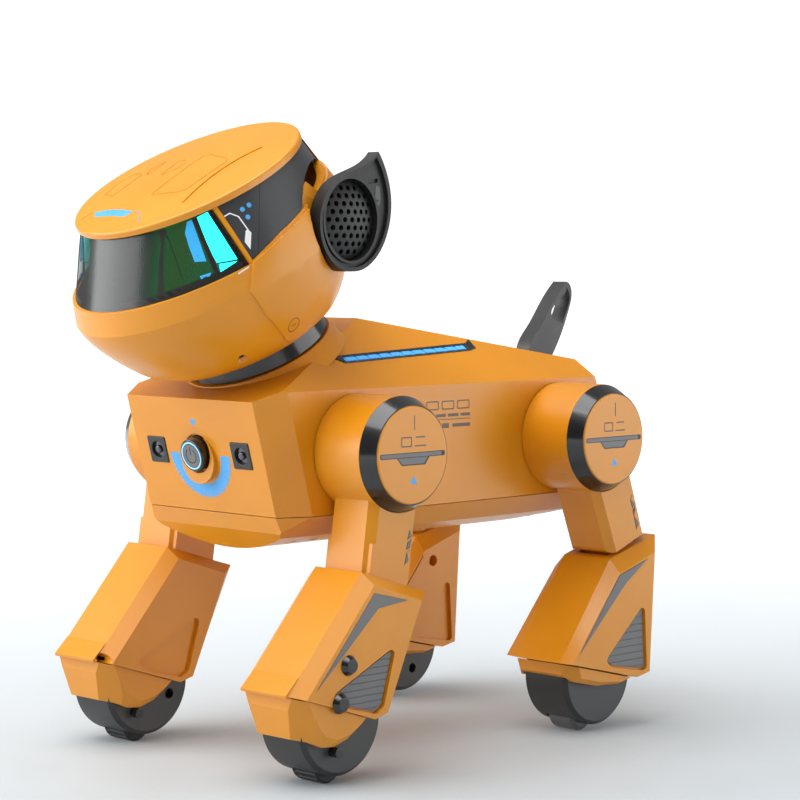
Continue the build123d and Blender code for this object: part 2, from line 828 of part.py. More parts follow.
# ---------------------------------------------------------------- legs
THIGH_LEAN = {"front": -8.5, "rear": 20.8}  # positive leans rearward going down
HIP_Y = {"front": -HIP_HALF_SPAN, "rear": HIP_HALF_SPAN}
THIGH_FRONT = 14.0
THIGH_REAR = (-16.3, -14.6)  # rear face at the top and at the bottom
REAR_THIGH_END = 55.7

SHIN_OUTLINE = {
    "front": [(-92.85, 91), (-135.6, 42.2), (-90.4, 27.4), (-78, 27.8), (-53.5, 79)],
    "rear": [(73, 82.2), (36.9, 36.0), (86.5, 24.0), (101.5, 24.5), (107, 91.5)],
}
SHIN_PANEL = {
    "front": [(-91, 85.8), (-130.7, 40.7), (-90.4, 27.5), (-82.8, 29.5), (-62, 76.1)],
    "rear": [(73.1, 75.5), (38.4, 35.9), (86.5, 24.3), (95.6, 26), (99.1, 84)],
}
SHIN_CAVITY = {
    "front": [
        (-90.1, 97),
        (-90.1, 88.4),
        (-130.4, 42.8),
        (-130.4, 20),
        (-80.3, 20),
        (-80.3, 28.6),
        (-57.5, 77),
        (-57.5, 97),
    ],
    "rear": [(75.6, 79.9), (39.6, 34.0), (39.6, 18), (98.9, 18), (98.9, 24.0), (104.2, 87.6)],
}
LIP_OUTLINE = [(-129.6, 49.6), (-136.9, 42.6), (-136.6, 41.4), (-133, 41.3), (-127, 46)]
GUARD_OUTLINE = {
    "front": [
        (-134, 41.3),
        (-134, 36),
        (-130.6, 22.8),
        (-125, 21.4),
        (-119, 18.7),
        (-112, 18),
        (-104, 20.3),
        (-97, 24.6),
        (-93.5, 28.1),
    ],
    "rear": [(39.6, 35.0), (39.6, 30), (44.4, 26.5), (60, 22.9), (76, 21.9), (84, 24.3)],
}
GUARD_PANEL = {
    "front": [
        (-131, 40.8),
        (-130, 33.5),
        (-124.2, 32.0),
        (-121.5, 26.5),
        (-117.5, 23.0),
        (-111.5, 21.6),
        (-104.5, 22.6),
        (-98.5, 25.8),
        (-94.6, 28.6),
    ],
    "rear": [(42.6, 34.3), (42.6, 31), (46, 28.5), (60, 25.0), (76, 23.2), (83, 24.5)],
}
GUARD_FLAT_HALF = 17.2
GUARD_FULL_HALF = 19.6
GUARD_LOW_HALF = {"front": 10.4, "rear": 14.0}  # half width of the front face near its lower edge
FOOT_CENTRE = {"front": (-103.5, 27.5), "rear": (66.0, 27.0)}
ROLLER_Y = {"front": -106.4, "rear": 60.8}
SHIN_PIN = {"front": (-106.4, 52.8), "rear": (79.3, 70.0)}
TOE_PIN = {"front": (-111.4, 37.0)}
FOOT_PIN_OUTER = (-109.2, 15.1)  # stud on the outer face of a front foot
FOOT_PIN_INNER = (-112.6, 15.2)  # stud on its inner face
FOOT_HOLE = {"front": (-91.3, 21.4), "rear": (71.4, 14.1)}  # blind holes in the inner face
FOOT_STUD_R = 2.3
FOOT_STUD_LIFT = 4.7
LIP_HOLE = (-132.6, 42.9)
PIN_R = 2.5
PIN_HEAD_R = 4.6
PIN_HEAD_LIFT = 2.6
SHIN_FIELD = {
    "front": [(-77.6, 58.6), (-117.5, 40.2), (-105.0, 33.6), (-89.8, 29.8), (-85.2, 32.4)],
    "rear": [(91.6, 60.0), (62.5, 34.8), (68.0, 31.0), (93.6, 26.6)],
}
SHIN_INLAY = {
    "front": [(-91.0, 82.4), (-125.7, 43.3), (-88.5, 75.5), (-70.4, 77.3)],
    "rear": [(72.7, 75.0), (43.4, 39.6), (76.8, 70.3), (93.9, 81.3)],
}
SHIN_SCORE = {
    "front": [(-97.7, 84.1), (-132.0, 45.2), (-131.4, 44.6), (-97.0, 83.5)],
    "rear": [(71.6, 73.2), (41.2, 37.4), (41.8, 36.9), (72.2, 72.6)],
}
FIELD_MID_Y = {"front": -98.0, "rear": 79.0}
FIELD_CORNER_R = 2.2
FIELD_DEPTH = 2.0
INLAY_DEPTH = 0.8


def thigh_plane(end, x):
    """Side plane with its origin at the hip and local y pointing up the thigh."""
    lean = radians(THIGH_LEAN[end])
    return Plane(
        origin=(x, MID_Y + HIP_Y[end], HIP_Z), x_dir=(0, cos(lean), sin(lean)), z_dir=(1, 0, 0)
    )


def knee_point(end):
    """Knee pivot as (y from mid wheelbase, z)."""
    lean = radians(THIGH_LEAN[end])
    return (HIP_Y[end] + KNEE_DROP * sin(lean), HIP_Z - KNEE_DROP * cos(lean))


def bevelled_block(outline, panel, flat_half, full_half):
    """Block centred on the leg whose sides slope in from outline to panel."""
    with BuildPart() as block:
        with BuildSketch(side_plane(LEG_X - flat_half)):
            with BuildLine():
                Polyline(*outline, close=True)
            make_face()
        extrude(amount=2 * flat_half)
        for side in (-1, 1):
            with BuildSketch(side_plane(LEG_X + side * flat_half)):
                with BuildLine():
                    Polyline(*outline, close=True)
                make_face()
            with BuildSketch(side_plane(LEG_X + side * full_half)):
                with BuildLine():
                    Polyline(*panel, close=True)
                make_face()
            loft(ruled=True)
    return block.part


def leg_disc(point, radius, start, end):
    """Round bar across the leg from x = start to x = end."""
    with BuildPart() as bar:
        with BuildSketch(side_plane(start)):
            with Locations(point):
                Circle(radius)
        extrude(amount=end - start)
    return bar.part


def make_thigh(end):
    """Drum and thigh in one moulding, with the shaft that enters the torso."""
    bottom = -REAR_THIGH_END if end == "rear" else -KNEE_DROP
    with BuildPart() as thigh:
        with BuildSketch(thigh_plane(end, LEG_X)):
            with BuildLine():
                Polyline(
                    (-THIGH_FRONT, 0),
                    (-THIGH_FRONT + 0.6, bottom),
                    (-THIGH_REAR[1], bottom),
                    (-THIGH_REAR[0], 0),
                    close=True,
                )
            make_face()
        extrude(amount=THIGH_HALF, both=True)
        uprights = thigh.edges().filter_by(lambda edge: abs(edge.length - abs(bottom)) < 2)
        chamfer(uprights, 3.6)
        if end == "rear":
            fillet(thigh.edges().filter_by(Axis.X).group_by(Axis.Z)[0], 3.5)
        with BuildSketch(side_plane(DRUM_IN)):
            with Locations((HIP_Y[end], HIP_Z)):
                Circle(DRUM_R)
        extrude(amount=DRUM_OUT - DRUM_IN)
        # tongue with the knee bore
        tongue_half = 9.0 if end == "rear" else THIGH_HALF
        tongue_r = 8.0 if end == "rear" else 12.0
        add(leg_disc(knee_point(end), tongue_r, LEG_X - tongue_half, LEG_X + tongue_half))
        with BuildSketch(thigh_plane(end, LEG_X - tongue_half)):
            with Locations((0, -(KNEE_DROP + 40) / 2)):
                Rectangle(2 * tongue_r, KNEE_DROP - 40)
        extrude(amount=2 * tongue_half)
        add(leg_disc(knee_point(end), KNEE_PIN_R + FIT, 40, 100), mode=Mode.SUBTRACT)
        # room for the ring outside the drum, and the hip shaft inside it
        add(leg_disc((HIP_Y[end], HIP_Z), DRUM_R + 0.1, DRUM_OUT, DRUM_OUT + 3), mode=Mode.SUBTRACT)
        add(leg_disc((HIP_Y[end], HIP_Z), HIP_BORE_R, 44, DRUM_IN))
        # short scored line on the inner face
        with BuildSketch(thigh_plane(end, LEG_X - THIGH_HALF)):
            with Locations((4.0, -45.8)):
                Rectangle(0.6, 5.5)
        extrude(amount=0.4, mode=Mode.SUBTRACT)
    return thigh.part


def make_ring(end):
    """Black ring that narrows from the drum to the cap."""
    with BuildPart() as ring:
        with BuildSketch(side_plane(DRUM_OUT)):
            with Locations((HIP_Y[end], HIP_Z)):
                Circle(DRUM_R)
        with BuildSketch(side_plane(RING_OUT)):
            with Locations((HIP_Y[end], HIP_Z)):
                Circle(CAP_R + 0.5)
        loft()
        add(leg_disc((HIP_Y[end], HIP_Z), CAP_R + 0.05, RING_OUT - 2.5, RING_OUT + 1), mode=Mode.SUBTRACT)
    return ring.part


def make_cap(end):
    """Round cover let into the ring."""
    with BuildPart() as cap:
        add(leg_disc((HIP_Y[end], HIP_Z), CAP_R, RING_OUT - 2.5, RING_OUT + 0.5))
        fillet(cap.faces().sort_by(Axis.X)[-1].edges(), 0.6)
    return cap.part


def make_shin(end):
    """Hollow shin, open below for the foot and above for the thigh."""
    with BuildPart() as shin:
        add(bevelled_block(SHIN_OUTLINE[end], SHIN_PANEL[end], SHIN_FLAT_HALF, SHIN_FULL_HALF))
        if end == "front":
            with BuildSketch(side_plane(LEG_X)):
                with BuildLine():
                    Polyline(*LIP_OUTLINE, close=True)
                make_face()
            extrude(amount=SHIN_FLAT_HALF, both=True)
        with BuildSketch(side_plane(LEG_X)):
            with BuildLine():
                Polyline(*SHIN_CAVITY[end], close=True)
            make_face()
        extrude(amount=SHIN_FLAT_HALF, both=True, mode=Mode.SUBTRACT)
        if end == "rear":
            # slot for the thigh's tongue
            with BuildSketch(plan_plane(76)):
                with Locations((LEG_X, 88.5)):
                    Rectangle(18.8, 23)
            extrude(amount=20, mode=Mode.SUBTRACT)
        add(leg_disc(knee_point(end), KNEE_PIN_R, LEG_X - 16.6, LEG_X + 16.6), mode=Mode.SUBTRACT)
        add(leg_disc(FOOT_CENTRE[end], FOOT_R + 0.4, LEG_X - 14, LEG_X + 14), mode=Mode.SUBTRACT)
        if end == "front":
            add(leg_disc(SHIN_PIN[end], PIN_R, 60, 100), mode=Mode.SUBTRACT)
            add(leg_disc(TOE_PIN[end], PIN_R, 60, 100), mode=Mode.SUBTRACT)
            add(leg_disc(LIP_HOLE, PIN_R, 40, 56), mode=Mode.SUBTRACT)
        else:
            add(leg_disc(SHIN_PIN[end], 2.9, 40, 49), mode=Mode.SUBTRACT)
        # long scored line beside the front edge of the inner cheek
        with BuildSketch(side_plane(LEG_X - SHIN_FULL_HALF)):
            with BuildLine():
                Polyline(*SHIN_SCORE[end], close=True)
            make_face()
        extrude(amount=0.5, mode=Mode.SUBTRACT)
        # recessed field low on both cheeks, and the groove for the long inlay on the outer one
        for side in (-1, 1):
            with BuildSketch(side_plane(LEG_X + side * SHIN_FULL_HALF)):
                with BuildLine():
                    FilletPolyline(*SHIN_FIELD[end], radius=FIELD_CORNER_R, close=True)
                make_face()
            extrude(amount=-side * FIELD_DEPTH, mode=Mode.SUBTRACT)
        with BuildSketch(side_plane(LEG_X + SHIN_FULL_HALF)):
            with BuildLine():
                Polyline(*SHIN_INLAY[end], close=True)
            make_face()
        extrude(amount=-INLAY_DEPTH, mode=Mode.SUBTRACT)
    return shin.part


def make_trim(end):
    """Grey inlays of the outer cheek: the long blade and the ribbed field."""
    outer_x = LEG_X + SHIN_FULL_HALF
    with BuildPart() as trim:
        with BuildSketch(side_plane(outer_x - INLAY_DEPTH)):
            with BuildLine():
                Polyline(*SHIN_INLAY[end], close=True)
            make_face()
            offset(amount=-0.1, kind=Kind.INTERSECTION)
        extrude(amount=INLAY_DEPTH + 0.15)
        with BuildSketch(side_plane(outer_x - FIELD_DEPTH)):
            with BuildLine():
                FilletPolyline(*SHIN_FIELD[end], radius=FIELD_CORNER_R, close=True)
            make_face()
            offset(amount=-1.1)
        extrude(amount=0.9)
        # ribs are left standing between shallow level grooves
        low = min(z for _, z in SHIN_FIELD[end])
        high = max(z for _, z in SHIN_FIELD[end])
        count = 9
        with BuildSketch(side_plane(outer_x - FIELD_DEPTH + 0.9)):
            for index in range(count):
                level = low + (high - low) * (index + 1) / (count + 1)
                with Locations((FIELD_MID_Y[end], level)):
                    Rectangle(60, 0.35)
        extrude(amount=-0.4, mode=Mode.SUBTRACT)
        if end == "front":
            for point in (SHIN_PIN[end], TOE_PIN[end]):
                add(leg_disc(point, PIN_HEAD_R + 0.3, 60, 100), mode=Mode.SUBTRACT)
    return trim.part


def make_guard(end):
    """Toe guard: a shoe round the front and the sides of the foot."""
    with BuildPart() as guard:
        add(bevelled_block(GUARD_OUTLINE[end], GUARD_PANEL[end], GUARD_FLAT_HALF, GUARD_FULL_HALF))
        # front corners cut back, more and more towards the floor
        front_y, top_z = GUARD_OUTLINE[end][0]
        for side in (-1, 1):
            top = Vector(LEG_X + side * 14.9, MID_Y + front_y, top_z)
            low = Vector(LEG_X + side * GUARD_LOW_HALF[end], MID_Y + front_y + 3.2, 23.5)
            back = Vector(LEG_X + side * GUARD_FULL_HALF, MID_Y + front_y + 4.7, top_z)
            normal = (low - top).cross(back - top)
            if normal.X * side < 0:
                normal = normal * -1
            split(bisect_by=Plane(origin=top, z_dir=normal), keep=Keep.BOTTOM)
        # room for the foot
        foot_half = FOOT_HALF + SEAM
        foot_space = leg_disc(FOOT_CENTRE[end], FOOT_R + 0.4, LEG_X - foot_half, LEG_X + foot_half)
        add(foot_space, mode=Mode.SUBTRACT)
        if end == "front":
            add(leg_disc(TOE_PIN[end], PIN_R, 60, 100), mode=Mode.SUBTRACT)
    return guard.part


def make_foot(end):
    """Round foot with a slot for the roller and bores for its pins."""
    with BuildPart() as foot:
        add(leg_disc(FOOT_CENTRE[end], FOOT_R, LEG_X - FOOT_HALF, LEG_X + FOOT_HALF))
        rims = foot.edges().filter_by(GeomType.CIRCLE)
        chamfer(rims, 1.8)
        with BuildSketch(side_plane(LEG_X)):
            with Locations((ROLLER_Y[end], ROLLER_R)):
                Circle(ROLLER_R + 0.8)
            with Locations((ROLLER_Y[end], 0)):
                Rectangle(2 * ROLLER_R + 1.6, 2 * ROLLER_R)
        extrude(amount=ROLLER_HALF + 0.5, both=True, mode=Mode.SUBTRACT)
        # blind seat for the axle, open only to the roller slot
        axle_half = FOOT_HALF - AXLE_INSET
        axle_seat = leg_disc((ROLLER_Y[end], ROLLER_R), AXLE_R, LEG_X - axle_half, LEG_X + axle_half)
        add(axle_seat, mode=Mode.SUBTRACT)
        inner_face = LEG_X - FOOT_HALF
        add(leg_disc(FOOT_HOLE[end], PIN_R, inner_face - 1, inner_face + 4), mode=Mode.SUBTRACT)
        if end == "front":
            add(leg_disc(TOE_PIN[end], PIN_R, 60, 100), mode=Mode.SUBTRACT)
            add(leg_disc(FOOT_PIN_INNER, FOOT_STUD_R, inner_face - 1, inner_face + 4), mode=Mode.SUBTRACT)
            add(leg_disc(FOOT_PIN_OUTER, FOOT_STUD_R, LEG_X + FOOT_HALF - 4, 100), mode=Mode.SUBTRACT)
    return foot.part


def make_pins(end):
    """Knee pin, roller axle and, on the front legs, the domed pins of the outer cheek."""
    with BuildPart() as pins:
        add(leg_disc(knee_point(end), KNEE_PIN_R, LEG_X - 16.6, LEG_X + 16.6))
        axle_half = FOOT_HALF - AXLE_INSET
        add(leg_disc((ROLLER_Y[end], ROLLER_R), AXLE_R, LEG_X - axle_half, LEG_X + axle_half))
        if end == "front":
            for point, inner in ((SHIN_PIN[end], LEG_X + SHIN_FLAT_HALF), (TOE_PIN[end], 60)):
                add(leg_disc(point, PIN_R, inner, LEG_X + SHIN_FULL_HALF))
                with BuildSketch(side_plane(LEG_X + SHIN_FULL_HALF)):
                    with Locations(point):
                        Circle(PIN_HEAD_R)
                with BuildSketch(side_plane(LEG_X + SHIN_FULL_HALF + PIN_HEAD_LIFT)):
                    with Locations(point):
                        Circle(PIN_HEAD_R - 1.6)
                loft()
            outer_face = LEG_X + FOOT_HALF
            add(leg_disc(FOOT_PIN_OUTER, FOOT_STUD_R, outer_face - 4, outer_face + FOOT_STUD_LIFT))
            inner_face = LEG_X - FOOT_HALF
            add(leg_disc(FOOT_PIN_INNER, FOOT_STUD_R, inner_face - FOOT_STUD_LIFT, inner_face + 4))
    return pins.part


def make_roller(end):
    """Small roller; the front ones are ribbed."""
    with BuildPart() as roller:
        add(leg_disc((ROLLER_Y[end], ROLLER_R), ROLLER_R, LEG_X - ROLLER_HALF, LEG_X + ROLLER_HALF))
        fillet(roller.edges().filter_by(GeomType.CIRCLE), 1.2 if end == "front" else 2.4)
        add(leg_disc((ROLLER_Y[end], ROLLER_R), AXLE_R + FIT, 40, 100), mode=Mode.SUBTRACT)
        if end == "front":
            with BuildSketch(side_plane(LEG_X)):
                with Locations((ROLLER_Y[end], ROLLER_R)):
                    with PolarLocations(ROLLER_R + 0.25, 18):
                        Circle(0.7)
            extrude(amount=ROLLER_HALF - 1.6, both=True, mode=Mode.SUBTRACT)
    return roller.part


LEG_PIECES = {
    "thigh_shell": make_thigh,
    "hip_ring": make_ring,
    "hip_cap": make_cap,
    "shin_shell": make_shin,
    "shin_trim": make_trim,
    "toe_guard": make_guard,
    "foot_shell": make_foot,
    "leg_pins": make_pins,
    "roller": make_roller,
}

for end in ("front", "rear"):
    for piece_name, make_piece in LEG_PIECES.items():
        shape = make_piece(end)
        with BuildPart() as left_piece:
            add(shape)
        save(left_piece, f"{end}_left_{piece_name}")
        with BuildPart() as right_piece:
            mirror(shape, about=Plane.YZ)
        save(right_piece, f"{end}_right_{piece_name}")
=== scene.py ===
import json
from math import ceil, cos, pi, radians, sin

import bmesh
import bpy
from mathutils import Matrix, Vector
from mathutils.bvhtree import BVHTree
from mathutils.geometry import delaunay_2d_cdt


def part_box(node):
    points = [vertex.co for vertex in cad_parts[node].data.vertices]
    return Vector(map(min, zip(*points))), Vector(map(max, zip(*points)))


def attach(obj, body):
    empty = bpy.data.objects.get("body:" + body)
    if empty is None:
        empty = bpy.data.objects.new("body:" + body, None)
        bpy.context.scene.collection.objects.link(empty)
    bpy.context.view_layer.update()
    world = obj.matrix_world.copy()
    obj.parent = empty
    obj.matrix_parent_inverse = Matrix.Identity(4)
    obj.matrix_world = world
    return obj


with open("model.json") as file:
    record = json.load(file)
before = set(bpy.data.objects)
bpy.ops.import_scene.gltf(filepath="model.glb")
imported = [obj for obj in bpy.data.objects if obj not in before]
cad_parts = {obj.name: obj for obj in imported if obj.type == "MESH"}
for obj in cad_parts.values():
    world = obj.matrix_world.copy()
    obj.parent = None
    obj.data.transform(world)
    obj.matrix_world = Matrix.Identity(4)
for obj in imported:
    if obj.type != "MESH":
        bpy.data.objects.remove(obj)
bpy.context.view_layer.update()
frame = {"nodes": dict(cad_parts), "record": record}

# Quadruped robot dog: it faces -Y, its left is +X. Outlines and places are in millimetres and
# are turned into Blender's metres by MM. y is measured from the middle of the wheelbase.
# Materials, lights and the camera are in metres.
MM = 0.001
NODES = frame["nodes"]


def middle(node):
    """Middle of a node's box."""
    low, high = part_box(node)
    return (low + high) / 2


MID_Y = (middle("front_left_hip_cap").y + middle("rear_left_hip_cap").y) / 2 / MM
HIP_Z = middle("front_left_hip_cap").z / MM
HIP_Y = {"front": -67.7, "rear": 67.7}
CAP_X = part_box("front_left_hip_cap")[1].x / MM
SIDES = (("left", 1), ("right", -1))

# ---------------------------------------------------------------- places to draw on


class Place:
    """A flat drawing board: origin in mm (y from mid wheelbase), two directions and their normal."""

    def __init__(self, origin, across, up):
        self.origin = Vector((origin[0], origin[1] + MID_Y, origin[2]))
        self.across = Vector(across).normalized()
        self.up = Vector(up).normalized()
        self.normal = self.across.cross(self.up).normalized()

    def at(self, u, v, lift=0.0):
        return self.origin + self.across * u + self.up * v + self.normal * lift


def side_board(x, y=0.0, z=0.0, outward=1):
    """Upright board through (x, y, z) with axes (rearward, up), facing left for 1 and right for -1."""
    board = Place((x, y, z), (0, 1, 0), (0, 0, 1))
    board.normal = Vector((outward, 0, 0))
    return board


NECK_TILT = radians(28)
NECK = (0.0, -81.3, 185.3)
NECK_UP = Vector((0, -sin(NECK_TILT), cos(NECK_TILT)))
NECK_BACK = Vector((0, cos(NECK_TILT), sin(NECK_TILT)))


def head_board(w):
    """Square to the neck axis, w above the neck base; axes are (x, rearward)."""
    return Place(Vector(NECK) + NECK_UP * w, (1, 0, 0), NECK_BACK)


def head_side_board():
    """Left side view of the head; axes are (rearward, up the neck axis)."""
    board = Place(NECK, NECK_BACK, NECK_UP)
    board.normal = Vector((1, 0, 0))
    return board


CHEST_LEAN = radians(15)
CHEST_FOOT = (-108.7, 112.1)


def chest_board(z):
    """On the leaning chest at height z; axes are (x, up the chest)."""
    along = (z - CHEST_FOOT[1]) / cos(CHEST_LEAN)
    up = Vector((0, -sin(CHEST_LEAN), cos(CHEST_LEAN)))
    origin = Vector((0, CHEST_FOOT[0], CHEST_FOOT[1])) + up * along
    return Place(origin, (1, 0, 0), up)


# ---------------------------------------------------------------- flat outlines


def arc(radius, start, end, count=24, centre=(0.0, 0.0)):
    """Points on an arc, angles in degrees."""
    points = []
    for index in range(count + 1):
        angle = radians(start + (end - start) * index / count)
        points.append((centre[0] + radius * cos(angle), centre[1] + radius * sin(angle)))
    return points


def circle(radius, centre=(0.0, 0.0), count=32):
    """Closed circle without its repeated last point."""
    return arc(radius, 0, 360, count, centre)[:-1]


def box(u, v, width, height):
    """Rectangle round the point (u, v)."""
    return [
        (u - width / 2, v - height / 2), (u + width / 2, v - height / 2),
        (u + width / 2, v + height / 2), (u - width / 2, v + height / 2),
    ]


CORNER_STEPS = 5
CORNER_SHARE = 0.45
SHARP_TURN = 0.4


def rounded(points, radius):
    """Closed outline with its corners rounded by quadratic curves."""
    result = []
    count = len(points)
    for index in range(count):
        here = Vector(points[index])
        before = Vector(points[index - 1])
        after = Vector(points[(index + 1) % count])
        reach = min(radius, (before - here).length * CORNER_SHARE, (after - here).length * CORNER_SHARE)
        start = here + (before - here).normalized() * reach
        end = here + (after - here).normalized() * reach
        for step in range(CORNER_STEPS + 1):
            t = step / CORNER_STEPS
            point = start * (1 - t) ** 2 + here * 2 * t * (1 - t) + end * t ** 2
            result.append((point.x, point.y))
    return result


def stroke(points, width):
    """Outline loop of a line of the given width drawn along points."""
    count = len(points)
    left, right = [], []
    for index in range(count):
        here = Vector(points[index])
        before = Vector(points[index - 1]) if index > 0 else None
        after = Vector(points[index + 1]) if index < count - 1 else None
        into = (here - before).normalized() if before is not None else None
        out = (after - here).normalized() if after is not None else None
        if into is None:
            into = out
        if out is None:
            out = into
        bisector = (into + out).normalized()
        normal = Vector((-bisector.y, bisector.x))
        reach = width / 2 / max(SHARP_TURN, bisector.dot(out))
        left.append(tuple(here + normal * reach))
        right.append(tuple(here - normal * reach))
    return [left + right[::-1]]


# ---------------------------------------------------------------- thin printed or inlaid pieces


def inside(point, loops):
    """Even-odd test of a point against closed loops."""
    found = False
    for loop in loops:
        count = len(loop)
        for index in range(count):
            (x0, y0), (x1, y1) = loop[index - 1], loop[index]
            if (y0 > point[1]) != (y1 > point[1]):
                if point[0] < (x1 - x0) * (point[1] - y0) / (y1 - y0) + x0:
                    found = not found
    return found


INNER_CLEARANCE = 0.45
MERGE_DISTANCE = 1e-5
CAST_FROM = 90


def fill(loops, step):
    """Triangles that fill the loops, with points no further apart than about step."""
    points, edges = [], []
    for loop in loops:
        first = len(points)
        dense = []
        count = len(loop)
        for index in range(count):
            a, b = Vector(loop[index]), Vector(loop[(index + 1) % count])
            parts = max(1, ceil((b - a).length / step))
            dense += [a.lerp(b, part / parts) for part in range(parts)]
        points += dense
        edges += [(first + i, first + (i + 1) % len(dense)) for i in range(len(dense))]
    border = list(points)
    low_u, high_u = min(p.x for p in border), max(p.x for p in border)
    low_v, high_v = min(p.y for p in border), max(p.y for p in border)
    v = low_v + step / 2
    while v < high_v:
        u = low_u + step / 2
        while u < high_u:
            spot = Vector((u, v))
            if inside(spot, loops) and min((spot - p).length for p in border) > INNER_CLEARANCE * step:
                points.append(spot)
            u += step
        v += step
    flat, _, faces, _, _, _ = delaunay_2d_cdt(points, edges, [], 0, MERGE_DISTANCE)
    kept = []
    for face in faces:
        middle_point = sum((flat[i] for i in face), Vector((0, 0))) / len(face)
        if inside(middle_point, loops):
            kept.append(list(face))
    return flat, kept


TREES = {}


def tree_of(node):
    """Search tree over a node's surface."""
    if node not in TREES:
        mesh = NODES[node].data
        TREES[node] = BVHTree.FromPolygons(
            [v.co.copy() for v in mesh.vertices], [tuple(p.vertices) for p in mesh.polygons]
        )
    return TREES[node]


def thin_piece(name, loops, board, material, body, raised=0.08, sunk=0.12, step=4.0, node=None,
               mirrored=False):
    """Closed thin piece that fills the loops; with a node it is draped over that node's surface."""
    flat, faces = fill(loops, step)
    top, bottom = [], []
    flip = Vector((-1, 1, 1)) if mirrored else Vector((1, 1, 1))
    for point in flat:
        here = board.at(point.x, point.y) * flip
        normal = board.normal * flip
        if node:
            far = here + normal * CAST_FROM
            hit, hit_normal, _, _ = tree_of(node).ray_cast(far * MM, -normal)
            if hit is not None:
                here = hit / MM
                normal = hit_normal if hit_normal.dot(normal) > 0 else -hit_normal
        top.append((here + normal * raised) * MM)
        bottom.append((here - normal * sunk) * MM)
    closed_sheet(name, top, bottom, faces, material, body)


def closed_sheet(name, top, bottom, faces, material, body):
    """Closed solid between two copies of one sheet."""
    mesh_data = bpy.data.meshes.new(name)
    work = bmesh.new()
    upper = [work.verts.new(p) for p in top]
    lower = [work.verts.new(p) for p in bottom]
    uses = {}
    for face in faces:
        work.faces.new([upper[i] for i in face])
        work.faces.new([lower[i] for i in reversed(face)])
        for index in range(len(face)):
            a, b = face[index - 1], face[index]
            uses[(a, b)] = uses.get((a, b), 0) + 1
    for (a, b) in uses:
        if (b, a) not in uses:
            work.faces.new([upper[b], upper[a], lower[a], lower[b]])
    loose = [v for v in work.verts if not v.link_faces]
    bmesh.ops.delete(work, geom=loose, context="VERTS")
    bmesh.ops.recalc_face_normals(work, faces=work.faces)
    work.to_mesh(mesh_data)
    work.free()
    finish_piece(name, mesh_data, material, body)


def finish_piece(name, mesh_data, material, body):
    """Puts a mesh in the scene with its material, on its body."""
    piece = bpy.data.objects.new(name, mesh_data)
    bpy.context.scene.collection.objects.link(piece)
    mesh_data.materials.append(material)
    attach(piece, body)


TURN_STEPS = 48


def lathe(name, profile, origin, axis, material, body):
    """Turned ring: profile is a closed list of (radius, height) along the axis."""
    axis = Vector(axis).normalized()
    side = axis.orthogonal().normalized()
    other = axis.cross(side)
    mesh_data = bpy.data.meshes.new(name)
    work = bmesh.new()
    rings = []
    base = Vector((origin[0], origin[1] + MID_Y, origin[2]))
    for radius, height in profile:
        ring = []
        for index in range(TURN_STEPS):
            angle = 2 * pi * index / TURN_STEPS
            outward = side * cos(angle) + other * sin(angle)
            ring.append(work.verts.new((base + axis * height + outward * radius) * MM))
        rings.append(ring)
    for low, high in zip(rings, rings[1:]):
        for index in range(TURN_STEPS):
            after = (index + 1) % TURN_STEPS
            work.faces.new([low[index], low[after], high[after], high[index]])
    bmesh.ops.recalc_face_normals(work, faces=work.faces)
    for face in work.faces:
        face.smooth = True
    work.to_mesh(mesh_data)
    work.free()
    finish_piece(name, mesh_data, material, body)


# ---------------------------------------------------------------- materials

GRAIN_DEPTH = 0.0002
PATCH_SCALE = 38
PATCH_LOW = 0.3
PATCH_HIGH = 0.7


def surface(name, color, rough, spread=0.05, tint=0.06, grain=900.0, bump=0.04, **sockets):
    """Moulded surface: fine grain in the bump, uneven roughness and a slight drift of colour."""
    material = bpy.data.materials.new(name)
    material.use_nodes = True
    tree = material.node_tree
    nodes, links = tree.nodes, tree.links
    shader = nodes["Principled BSDF"]
    for socket, value in sockets.items():
        shader.inputs[socket.replace("_", " ")].default_value = value
    place = nodes.new("ShaderNodeTexCoord")
    fine = nodes.new("ShaderNodeTexNoise")
    fine.inputs["Scale"].default_value = grain
    fine.inputs["Detail"].default_value = 3
    links.new(place.outputs["Object"], fine.inputs["Vector"])
    lift = nodes.new("ShaderNodeBump")
    lift.inputs["Strength"].default_value = bump
    lift.inputs["Distance"].default_value = GRAIN_DEPTH
    links.new(fine.outputs["Fac"], lift.inputs["Height"])
    links.new(lift.outputs["Normal"], shader.inputs["Normal"])
    broad = nodes.new("ShaderNodeTexNoise")
    broad.inputs["Scale"].default_value = PATCH_SCALE
    broad.inputs["Detail"].default_value = 4
    links.new(place.outputs["Object"], broad.inputs["Vector"])
    span = nodes.new("ShaderNodeMapRange")
    span.inputs["From Min"].default_value = PATCH_LOW
    span.inputs["From Max"].default_value = PATCH_HIGH
    span.inputs["To Min"].default_value = rough - spread
    span.inputs["To Max"].default_value = rough + spread
    links.new(broad.outputs["Fac"], span.inputs["Value"])
    links.new(span.outputs["Result"], shader.inputs["Roughness"])
    ramp = nodes.new("ShaderNodeValToRGB")
    ramp.color_ramp.elements[0].position = PATCH_LOW
    ramp.color_ramp.elements[1].position = PATCH_HIGH
    ramp.color_ramp.elements[0].color = [c * (1 - tint) for c in color] + [1]
    ramp.color_ramp.elements[1].color = [min(1, c * (1 + tint)) for c in color] + [1]
    links.new(broad.outputs["Fac"], ramp.inputs["Fac"])
    links.new(ramp.outputs["Color"], shader.inputs["Base Color"])
    return material


